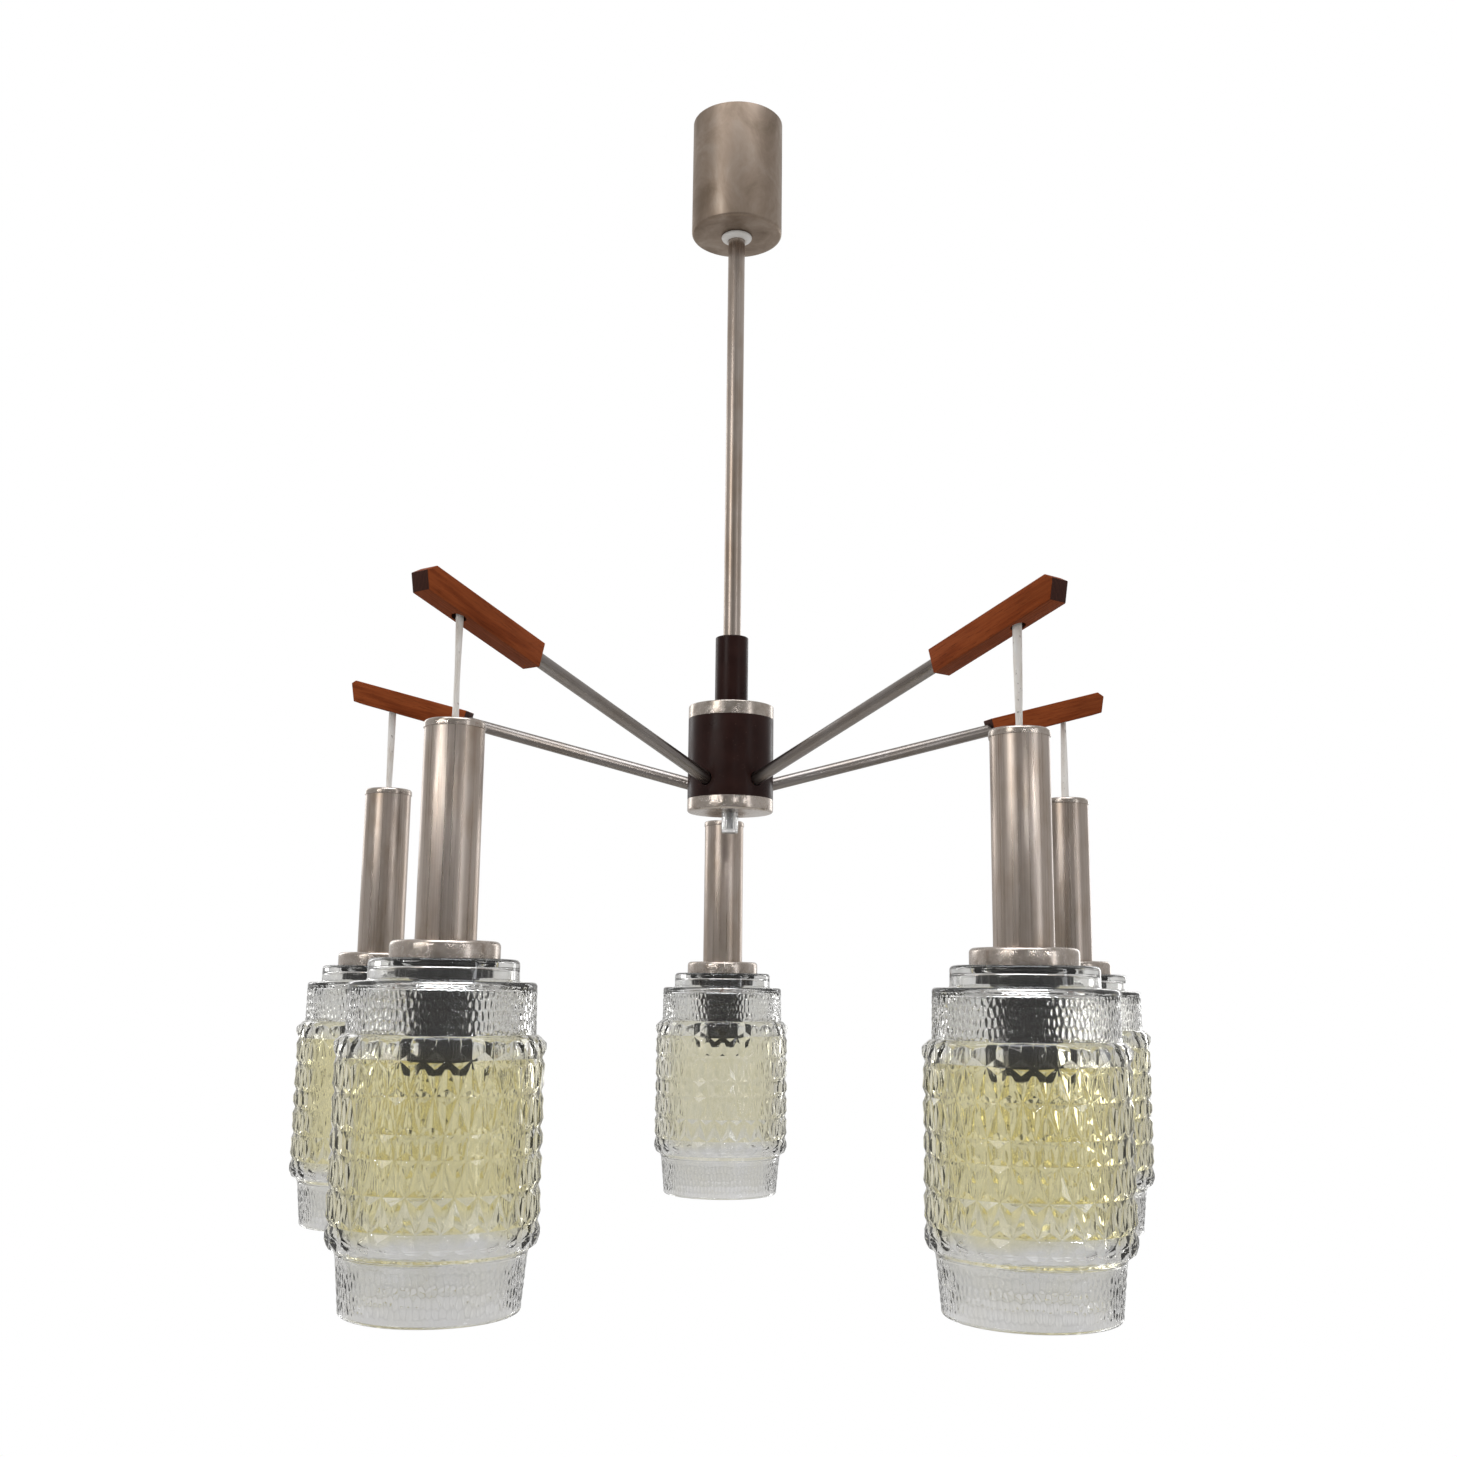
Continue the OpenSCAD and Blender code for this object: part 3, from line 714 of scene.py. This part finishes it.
def mouth(i):
    """Where the cord leaves the underside of its block"""
    return arm_place(i) @ Vector((HOLE_S, 0, -BLOCK.z / 2))


def pendant_place(i, z=0.0):
    point = mouth(i)
    return Matrix.Translation((point.x, point.y, z)) @ Matrix.Rotation(azimuth(i), 4, "Z")


# ---- Cords ----

def flat_section(sides=20):
    """Two cores side by side under one sheath, with a shallow groove between them"""
    points = []
    for k in range(sides):
        a = TURN * k / sides
        waist = 1 - 0.16 * (1 - abs(cos(a))) ** 3
        points.append((CORD_W / 2 * cos(a), CORD_T / 2 * sin(a) * waist))
    return points


def make_cord(i):
    """The flat cord, twisting a little as it hangs, with its section never quite even"""
    shape = Shape()
    section = flat_section()
    start = mouth(i)
    route = [start + Vector(p) * MM for p in CORD_ROUTE]
    rings = []
    for k in range((len(route) - 1) * CORD_STEPS + 1):
        j, step = divmod(k, CORD_STEPS)
        centre = route[j].lerp(route[min(j + 1, len(route) - 1)], step / CORD_STEPS)
        turn = azimuth(i) + radians(CORD_TURNS[i - 1] + CORD_TWIST * k / CORD_STEPS)
        slack = min(1, 1 + 0.012 * noise.noise(Vector((i * 7.0, 0, centre.z * 90))))
        ring = []
        for u, v in section:
            u, v = u * slack, v * slack
            ring.append(shape.point(centre.x + u * cos(turn) - v * sin(turn),
                                    centre.y + u * sin(turn) + v * cos(turn), centre.z))
        rings.append(ring)
    shape.face(rings[0][:])
    shape.face(rings[-1][::-1])
    shape.strips(rings)
    cord = add(f"flat_cord_{i}", shape.mesh(f"flat_cord_{i}", "cord_pvc"), f"cord_{i}",
               [f"pendant_cord_{i}"])


# ---- Canopy, stem and hub ----

def make_canopy():
    floor_z = low("canopy")
    outline = cup(CANOPY_R, top("canopy") - floor_z, SHEET, SHEET, CANOPY_HOLE, 2.5 * MM)
    turned("canopy_cup", flip(outline, floor_z), "tarnished_nickel", "canopy", ["canopy"], 128)
    bush = rounded([(7.1, 3, 0.3), (12.5, 3, 0.3), (12.5, 1, 0), (11, 1, 0), (11, 0, 0),
                    (13.8, 0, 1.2), (12.2, -2.6, 0.6), (8.6, -4.2, 0.5), (7.1, -4.2, 0.2)])
    turned("canopy_grip", [(x * MM, floor_z + y * MM) for x, y in bush], "white_plastic", "canopy",
           ["canopy_bush"], 64)


def make_stem():
    outline = tube(STEM_R, STEM_BORE, low("stem_tube"), top("stem_tube"))
    turned("stem", outline, "satin_nickel", "root", ["stem_tube"], 64)
    collar_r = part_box("stem_collar")[1].x
    outline = tube(collar_r, STEM_R, low("stem_collar"), top("stem_collar"), 0.9 * MM)
    turned("collar", outline, "dark_lacquer", "root", ["stem_collar"])


def make_hub():
    """Two polished caps and between them the lacquered drum, bored for the arms"""
    height = top("hub_top_cap") - low("hub_top_cap")
    outline = cup(HUB_R, height, CAP_PLATE, CAP_PLATE, STEM_R, 1 * MM)
    turned("hub_lid", at_height(outline, top("hub_top_cap")), "polished_nickel", "root",
           ["hub_top_cap"], 128)
    outline = cup(HUB_R, height, CAP_PLATE, CAP_PLATE, 3 * MM, 2 * MM)
    turned("hub_base", flip(outline, low("hub_bottom_cap")), "polished_nickel", "root",
           ["hub_bottom_cap"], 128)
    outline = tube(HUB_R, HUB_R - DRUM_WALL, low("hub_drum"), top("hub_drum"), 0.3 * MM)
    drum = turned("drum", outline, "dark_lacquer", "root", ["hub_drum"], 128)
    hole = ARM_R + 0.5 * MM
    bore = rounded([(0, 2 * HUB_R), (hole, 2 * HUB_R), (hole, 0), (0, 0)])
    for i in ARMS:
        boolean(drum, lathe("cutter", bore, "dark_lacquer", 48), arm_place(i) @ ALONG_X)
    drum.data.set_sharp_from_angle(angle=radians(SHARP))


def make_finial():
    """Clear ridged nut with a plain ring where it meets the hub"""
    base, tip = top("finial_nut"), low("finial_nut")
    r, bore, pocket = FINIAL_R, FINIAL_BORE, tip + 3 * MM
    outline = rounded([(bore, base), (r, base, 0.2 * MM), (r, base - 1.6 * MM, 0.2 * MM),
                       (r - 0.3 * MM, base - 2 * MM, 0.1 * MM), (r, base - 2.4 * MM, 0.2 * MM),
                       (r, tip, 0.8 * MM), (0, tip), (0, pocket), (bore, pocket)])
    flutes = ribs(18, 0.5 * MM, tip - MM, base - 2.5 * MM, 5 * MM, 0.7)
    turned("ridged_nut", outline, "clear_plastic", "finial", ["finial_nut"], 216, wobble=flutes)


# ---- Arms ----

def make_arm(i):
    # The arm tube takes the darker copy of satin nickel, painted shade
    turned(f"arm_{i}", tube(ARM_R, ARM_BORE, ARM_START, ARM_END), "arm_nickel", "root",
           [f"arm_tube_{i}"], 64, arm_place(i) @ ALONG_X, "satin_nickel")
    make_block(i)


def block_outline(i):
    """The block's side view, in the arm's frame"""
    half = BLOCK.z / 2
    corner = BLOCK_CORNERS[i - 1] * MM
    end = BLOCK_START + BLOCK.x
    reach = end + BLOCK_SLANT * (BLOCK.z - corner)
    return [(BLOCK_START, -half), (end, -half), (reach, half - corner), (reach - corner, half),
            (BLOCK_START, half)]


def make_block(i):
    """Teak block with softened edges, the hole for the arm tube and the hole for the cord"""
    shape = bmesh.new()
    face = shape.faces.new([shape.verts.new((x, -BLOCK.y / 2, z)) for x, z in block_outline(i)])
    grown = bmesh.ops.extrude_face_region(shape, geom=[face])
    verts = [g for g in grown["geom"] if isinstance(g, bmesh.types.BMVert)]
    bmesh.ops.translate(shape, vec=(0, BLOCK.y, 0), verts=verts)
    bmesh.ops.recalc_face_normals(shape, faces=shape.faces)
    bmesh.ops.bevel(shape, geom=shape.edges[:], offset=BLOCK_EDGE, segments=3, profile=0.5,
                    affect="EDGES")
    mesh = bpy.data.meshes.new(f"teak_end_{i}")
    shape.to_mesh(mesh)
    shape.free()
    for material in ("teak_side", "teak_under", "teak_end"):
        mesh.materials.append(LOOKS[material])
    block = add(f"teak_end_{i}", mesh, "root", [f"arm_block_{i}"], arm_place(i))
    flare = BLOCK_START + 0.6 * MM
    outside = BLOCK_START - 1 * MM
    socket = rounded([(0, ARM_END), (ARM_R, ARM_END), (ARM_R, flare), (ARM_R + 0.6 * MM, outside),
                      (0, outside)])
    boolean(block, lathe("cutter", socket, "teak_side", 48), arm_place(i) @ ALONG_X)
    hole = rounded([(0, HOLE_REACH), (HOLE_R, HOLE_REACH), (HOLE_R, -HOLE_REACH), (0, -HOLE_REACH)])
    place = pendant_place(i, mouth(i).z) @ Matrix.Translation((HOLE_SHIFT, 0, 0))
    boolean(block, lathe("cutter", hole, "teak_side", 48), place)
    # Faces that look down take the second teak tone, painted light and shade by face direction; end
    # faces and the cord hole's wall take end grain
    side, under, end = range(3)
    for face in block.data.polygons:
        x, _, z = face.normal
        off = face.center - Vector((HOLE_S, 0, 0))
        inside = hypot(off.x, off.y) < HOLE_R + 1.2 * MM and abs(z) < 0.9
        face.material_index = end if abs(x) > 0.75 or inside else under if z < -0.7 else side
    block.data.shade_smooth()
    block.data.set_sharp_from_angle(angle=radians(40))


# ---- Pendants ----

def make_cover(i):
    """The cover tube with its cap, and the gallery over the glass"""
    place, body = pendant_place(i), f"pendant_{i}"
    outline = cup(CAP_R, 5 * MM, 0.6 * MM, 1.2 * MM, 4.4 * MM, 2.2 * MM)
    turned(f"cover_cap_{i}", at_height(outline, top(f"end_cap_{i}")), "polished_nickel", body,
           [f"end_cap_{i}"], place=place, slot="satin_nickel")
    outline = tube(COVER_R, COVER_R - SHEET, low(f"cover_tube_{i}"), top(f"cover_tube_{i}"))
    turned(f"cover_{i}", outline, "satin_nickel", body, [f"cover_tube_{i}"], place=place)
    plate_top = top(f"gallery_{i}")
    outline = cup(GALLERY_R, plate_top - low(f"gallery_{i}"), SHEET, SHEET, NIPPLE_R, 3 * MM)
    turned(f"gallery_plate_{i}", at_height(outline, plate_top), "polished_nickel", body,
           [f"gallery_{i}"], 128, place)


def screw_shell(name, radius, low_z, high_z, wall):
    """Rolled screw shell: a thin sleeve with a round helical thread"""
    shape = Shape()
    sides, rows = 64, 60
    grids = []
    for offset in (wall, 0):
        rings = []
        for j in range(rows + 1):
            z = high_z + (low_z - high_z) * j / rows
            ring = []
            for k in range(sides):
                wave = 0.5 - 0.5 * cos(TURN * (z / THREAD_PITCH - k / sides))
                r = radius + THREAD_DEPTH * wave + offset
                ring.append(shape.point(*polar(r, TURN * k / sides, z)))
            rings.append(ring)
        grids.append(rings)
    outer, inner = grids
    shape.strips(outer)
    shape.strips(inner[::-1])
    shape.strip(inner[0], outer[0])
    shape.strip(outer[-1], inner[-1])
    return shape.mesh(name, "brass", 60)


def make_holder(i):
    """Black holder body, porcelain insert, screw shell, contact and the fittings above it"""
    glass_top, base = top(f"shade_{i}"), low(f"lamp_holder_{i}")
    place, body = pendant_place(i), f"pendant_{i}"
    lip_top = glass_top + 3 * MM
    floor_z = lip_top - 4 * MM
    inner = HOLDER_R - HOLDER_WALL
    ribs_top = glass_top - 14 * MM
    outline = [(NIPPLE_R, lip_top), (HOLDER_LIP_R, lip_top, 0.5 * MM),
               (HOLDER_LIP_R, glass_top, 0.2 * MM), (HOLDER_R, glass_top)]
    outline += [(HOLDER_R, ribs_top - k * 1.6 * MM) for k in range(30)]
    outline += [(HOLDER_R, base, 0.6 * MM), (inner, base, 0.6 * MM), (inner, floor_z),
                (NIPPLE_R, floor_z)]
    grip = ribs(36, 0.7 * MM, base + 6 * MM, ribs_top - 2 * MM, inner + 1 * MM)
    turned(f"holder_body_{i}", rounded(outline), "black_bakelite", body, [f"lamp_holder_{i}"], 216,
           place, wobble=grip)
    shell_top = base + 31 * MM
    ceiling = shell_top + 3.3 * MM
    step = base + 8 * MM
    wide, narrow = inner - 0.1 * MM, LAMP_R + 1.9 * MM
    outline = [(LEAD_R, floor_z - 1 * MM), (wide, floor_z - 1 * MM), (wide, step, 1 * MM),
               (narrow, step, 0.8 * MM), (narrow, ceiling), (LEAD_R, ceiling)]
    turned(f"holder_insert_{i}", rounded(outline), "porcelain", body, place=place,
           slot="white_plastic")
    shell = screw_shell(f"screw_shell_{i}", LAMP_R, base + 5 * MM, shell_top - 0.1 * MM, 0.35 * MM)
    add(f"screw_shell_{i}", shell, body, (), place)
    outline = rounded([(0, ceiling), (CONTACT_R, ceiling), (CONTACT_R, shell_top + 0.7 * MM, 1 * MM),
                       (0, shell_top + 0.3 * MM)])
    turned(f"centre_contact_{i}", outline, "brass", body, (), 48, place)
    make_fittings(i, floor_z)


def make_fittings(i, floor_z):
    """Nipple, nut, cord grip and lead, hidden in the cover tube"""
    place, body = pendant_place(i), f"pendant_{i}"
    nut_low = top(f"gallery_{i}")
    nipple_top = nut_low + 4.6 * MM
    outline = tube(NIPPLE_R, 3.5 * MM, floor_z, nipple_top, 0.3 * MM)
    turned(f"nipple_{i}", outline, "brass", body, (), 48, place)
    outline = tube(7.4 * MM, NIPPLE_R, nut_low, nut_low + 4 * MM, 0.5 * MM)
    turned(f"nut_{i}", outline, "brass", body, (), 6, place)
    outline = tube(7 * MM, 2.7 * MM, nipple_top, nipple_top + 8 * MM, 0.6 * MM)
    turned(f"cord_grip_{i}", outline, "ivory_plastic", body, (), 48, place, "terminal_plastic")
    lead_top, lead_low = top(f"end_cap_{i}") - 6 * MM, floor_z + 1 * MM
    outline = rounded([(0, lead_top), (LEAD_R, lead_top, 0.8 * MM), (LEAD_R, lead_low, 0.4 * MM),
                       (0, lead_low)])
    turned(f"lead_{i}", outline, "cord_pvc", body, (), 32, place)


def make_ring(i):
    """Threaded ring that clamps the glass, with grip notches"""
    z_low, z_high = low(f"shade_ring_{i}"), top(f"shade_ring_{i}")
    outline = tube(RING_R, HOLDER_R + 0.1 * MM, z_low, z_high, 0.6 * MM)
    notches = ribs(24, 1 * MM, z_low + 0.1 * MM, z_high - 0.1 * MM, RING_R - 2 * MM)
    turned(f"clamp_ring_{i}", outline, "black_bakelite", f"ring_{i}", [f"shade_ring_{i}"], 192,
           pendant_place(i), wobble=notches)


# ---- Shade: in millimetres until the mesh is scaled at the end ----

def arc(x, z, r, start, end, steps=5):
    """(radius, height) points of an arc round (x, z), angles in degrees"""
    angles = [radians(start + (end - start) * k / steps) for k in range(steps + 1)]
    return [(x + r * cos(a), z + r * sin(a)) for a in angles]


def pebble(turn, z, count, slant):
    """How near a spot is to a crease of the hammered pebbles: 0 on a crown, 1 in a crease.
    turn is the share of the way round, with count pebbles in a staggered row"""
    v = z / PEBBLE_H
    row = floor(v)
    reach = []
    for j in (row - 1, row, row + 1):
        shift = 0.5 * (j % 2) + slant * j
        u = turn * count - shift
        for k in (floor(u) - 1, floor(u), floor(u) + 1):
            off = noise.cell_vector(Vector((k % count, j, 0)) + Vector((0.5, 0.5, 0.5)))
            reach.append(hypot(u - k - 0.5 - 0.62 * (off.x - 0.5), v - j - 0.5 - 0.6 * (off.y - 0.5)))
    near, second = sorted(reach)[:2]
    return (2 * near / (near + second)) ** 2


def hammered_rings(shape, start, end, step, depth, slant):
    """Rings from (radius, z) start to end, pressed in between pebbles"""
    (r0, z0), (r1, z1) = start, end
    steps = round((z0 - z1) / step)
    count = round(TURN * (r0 + r1) / 2 / PEBBLE_W)
    rings = []
    for j in range(steps + 1):
        fade = min(1, j / 3, (steps - j) / 3)
        r, z = r0 + (r1 - r0) * j / steps, z0 + (z1 - z0) * j / steps
        ring = []
        for k in range(SIDES):
            press = pebble(k / SIDES, z, count, slant) * fade
            ring.append(shape.point(*polar(r - depth * press, TURN * k / SIDES, z)))
            shape.creases[ring[-1]] = press
        rings.append(ring)
    return rings


def node_ring(shape, phase, radius, z):
    """The corners of one groove, one per cell"""
    return [shape.point(*on_circle(k + phase, radius, z)) for k in range(CELLS)]


def plain_edge(nodes):
    """A groove as one straight path per cell, each from its own corner to the next"""
    return [[nodes[k], nodes[(k + 1) % CELLS]] for k in range(CELLS)]


def fine_edge(shape, nodes, place):
    """The same paths cut into CELL_STEPS, with place(cell, share) for the points between"""
    paths = []
    for k in range(CELLS):
        middle = [shape.point(*place(k, j / CELL_STEPS)) for j in range(1, CELL_STEPS)]
        paths.append([nodes[k], *middle, nodes[(k + 1) % CELLS]])
    return paths


def on_circle(cell, radius, z):
    return polar(radius, TURN * cell / CELLS, z)


def zigzag_row(shape, upper, lower, phase, z_top, z_low):
    """A full row: pyramids on triangles that point down and up in turn"""
    for k in range(CELLS):
        n0, n1 = upper[k][0], upper[k][-1]
        m_back, m = lower[k - 1][0], lower[k - 1][-1]
        crown = shape.point(*on_circle(k + phase + 0.5, FACET_R, z_top - BEVEL_H))
        base = shape.point(*on_circle(k + phase, FACET_R, z_low + BEVEL_H))
        for corners in ([crown, *reversed(upper[k])], [n0, m, crown], [n1, crown, m],
                        [base, *lower[k - 1]], [m_back, base, n0], [m, n0, base]):
            shape.face(corners, True)


def roof_row(shape, upper, lower, radius, phase, z_top, z_low):
    """A short row: upright prisms with their ridge in the middle of each cell.
    Without z_top, the ridges run up into a fine upper edge"""
    for k in range(CELLS):
        up, down = upper[k], lower[k]
        low_tip = shape.point(*on_circle(k + phase + 0.5, radius, z_low + BEVEL_H))
        if z_top is None:
            half = len(up) // 2
            left = [*reversed(up[:half + 1]), down[0], low_tip]
            right = [*reversed(up[half:]), low_tip, down[-1]]
        else:
            top_tip = shape.point(*on_circle(k + phase + 0.5, radius, z_top - BEVEL_H))
            left = [up[0], down[0], low_tip, top_tip]
            right = [up[-1], top_tip, low_tip, down[-1]]
            shape.face([top_tip, *reversed(up)], True)
        for corners in (left, right, [low_tip, *down]):
            shape.face(corners, True)


def first_row_edge(shape, band_low):
    """Where the cone of the shoulder cuts the prisms of the first row: a row of arches"""
    ridge_r, valley_r = FACET_R + FIRST_ROW_PROUD, GROOVE_R + 0.3
    slope = BEVEL_H / (ridge_r - SHOULDER_R)

    def on_shoulder(x, y):
        return x, y, band_low - (hypot(x, y) - SHOULDER_R) * slope

    def place(k, share):
        valley = Vector(on_circle(k if share < 0.5 else k + 1, valley_r, 0))
        ridge = Vector(on_circle(k + 0.5, ridge_r, 0))
        point = valley.lerp(ridge, 2 * share if share < 0.5 else 2 - 2 * share)
        return on_shoulder(point.x, point.y)

    nodes = [shape.point(*place(k, 0)) for k in range(CELLS)]
    return fine_edge(shape, nodes, place)


def facet_rows(shape, row_tops):
    """All seven rows. Returns the fine edges above the first and below the last"""
    top_edge = first_row_edge(shape, row_tops[0])
    edge, phase = top_edge, 0
    for k in range(len(ROWS)):
        z_top, z_low = row_tops[k], row_tops[k + 1]
        turned = phase if k in SHORT_ROWS else phase + 0.5
        nodes = node_ring(shape, turned, GROOVE_R, z_low)
        lower = plain_edge(nodes)
        if k == len(ROWS) - 1:
            corners = [Vector(shape.points[n]) for n in nodes]
            corners.append(corners[0])
            lower = fine_edge(shape, nodes, lambda j, share: corners[j].lerp(corners[j + 1], share))
        if k in SHORT_ROWS:
            proud = FIRST_ROW_PROUD if k == 0 else 0
            ridge_top = None if k == 0 else z_top
            roof_row(shape, edge, lower, FACET_R + proud, phase, ridge_top, z_low)
        else:
            zigzag_row(shape, edge, lower, phase, z_top, z_low)
        edge, phase = lower, turned
    return top_edge, edge, phase


def as_ring(paths, phase):
    """One fine edge as a ring that starts at angle zero"""
    ring = [p for path in paths for p in path[:-1]]
    turned = round(phase * CELL_STEPS)
    return [ring[(j - turned) % SIDES] for j in range(SIDES)]


def shade_mesh():
    """The whole bell, from the hole in its neck down its outside, round the rim and back up"""
    shape = Shape()
    row_tops = [-(NECK_H + BAND_H + sum(ROWS[:k])) for k in range(len(ROWS) + 1)]
    band_low, skirt_top = row_tops[0], row_tops[-1]
    rim_z = skirt_top - SKIRT_H
    neck = [(22, -5), (22, -0.6), (22.6, 0), (34, 0), *arc(NECK_R - 3, -3, 3, 90, 0), (NECK_R, -8),
            (NECK_R, -NECK_H + 1.5), (NECK_R + 0.5, -NECK_H + 0.4), (NECK_R + 1.5, -NECK_H),
            *arc(BAND_R - 2.5, -NECK_H - 2.5, 2.5, 90, 0)]
    rings = [shape.ring(r, z, SIDES) for r, z in neck]
    first = rings[0]
    band_start, band_end = (BAND_R, -NECK_H - 3), (BAND_R + 0.4, band_low + 0.8)
    rings += hammered_rings(shape, band_start, band_end, 0.8, 0.62, 0.1)
    rings.append(shape.ring(BAND_R + 0.4, band_low + 0.2, SIDES))
    rings.append(shape.ring(SHOULDER_R - 0.4, band_low, SIDES))
    top_edge, low_edge, phase = facet_rows(shape, row_tops)
    shape.strips([*rings, as_ring(top_edge, 0)])
    rings = [as_ring(low_edge, phase), shape.ring(SKIRT_R + 1.5, skirt_top - 2, SIDES),
             shape.ring(SKIRT_R + 0.3, skirt_top - 4.4, SIDES)]
    skirt_start, skirt_end = (SKIRT_R, skirt_top - 6), (RIM_R, rim_z + RIM_ROUND + 0.6)
    rings += hammered_rings(shape, skirt_start, skirt_end, 0.9, 0.42, 0.3)
    neck_in, band_in, groove_in = NECK_R - GLASS, BAND_R - GLASS, GROOVE_R - GLASS
    skirt_in, ceiling = SKIRT_R - GLASS, -NECK_H - GLASS
    inside = [*arc(RIM_R - RIM_ROUND, rim_z + RIM_ROUND, RIM_ROUND, 0, -180, 10),
              (RIM_R - GLASS + 0.1, rim_z + 8), (skirt_in, skirt_top - 2), (skirt_in + 1, skirt_top + 3),
              (groove_in, skirt_top + 8), (groove_in, -80), (groove_in, band_low - 8),
              (band_in, band_low + 1), (band_in, ceiling - 5),
              *arc(band_in - 3, ceiling - 3, 3, 0, 90, 4),
              (neck_in + 1, ceiling + 0.6), (neck_in, -NECK_H - 2), (neck_in, -8),
              *arc(neck_in - 2, -7, 2, 0, 90, 3), (30, -5)]
    shape.strips([*rings, *(shape.ring(r, z, SIDES) for r, z in inside), first])
    shape.points = [(x * MM, y * MM, z * MM) for x, y, z in shape.points]
    mesh = shape.mesh("glass_bell", "pressed_glass")
    soften_facets(mesh)
    return mesh


def soften_facets(mesh):
    """Fire-polished edges: a narrow bevel along every edge between two flat facets, shaded round"""
    shape = bmesh.new()
    shape.from_mesh(mesh)
    edges = [edge for edge in shape.edges
             if len(edge.link_faces) == 2 and not any(face.smooth for face in edge.link_faces)]
    bmesh.ops.bevel(shape, geom=edges, offset=FACET_EDGE * MM, segments=1, profile=0.5,
                    affect="EDGES", clamp_overlap=True)
    for part in (*shape.faces, *shape.edges):
        part.smooth = True
    normals = []
    for vert in shape.verts:
        faces = (face.normal * face.calc_area() for face in vert.link_faces)
        normals.append(sum(faces, Vector()).normalized())
    shape.to_mesh(mesh)
    shape.free()
    mesh.normals_split_custom_set_from_vertices(normals)


def make_shades():
    """Five bells from one mould, each screwed on at its own turn and with its own stain"""
    mould = shade_mesh()
    for i in ARMS:
        mesh = mould.copy()
        mesh.name = f"glass_bell_{i}"
        turn = azimuth(i) + radians(SHADE_TURNS[i - 1])
        mesh.transform(Matrix.Rotation(turn, 4, "Z"))
        stain = mesh.attributes.new("stain", "FLOAT", "POINT")
        stain.data.foreach_set("value", [SHADE_STAINS[i - 1]] * len(mesh.vertices))
        place = Matrix.Translation((mouth(i).x, mouth(i).y, top(f"shade_{i}")))
        add(mesh.name, mesh, f"pendant_{i}", [f"shade_{i}"], place)
    bpy.data.meshes.remove(mould)


# ---- Hidden pieces and the build ----

def finish_inner_pieces():
    """The hidden CAD nodes keep their shape and get their materials"""
    inner = {"hanging_bracket": "zinc_steel", "hub_yoke": "zinc_steel", "tie_rod": "zinc_steel",
             "lock_nuts": "brass", "terminal_blocks": "ivory_plastic", "supply_cable": "cable_sheath",
             "arm_cables": "cable_sheath"}
    for name, material in inner.items():
        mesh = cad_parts[name].data
        mesh.materials.clear()
        mesh.materials.append(LOOKS[material])


scene.view_settings.view_transform = "Standard"
make_camera()
make_materials()
for i in ARMS:
    make_cord(i)
make_world()
make_lights()
make_floor()
make_canopy()
make_stem()
make_hub()
make_finial()
for i in ARMS:
    make_arm(i)
    make_cover(i)
    make_holder(i)
    make_ring(i)
make_shades()
finish_inner_pieces()
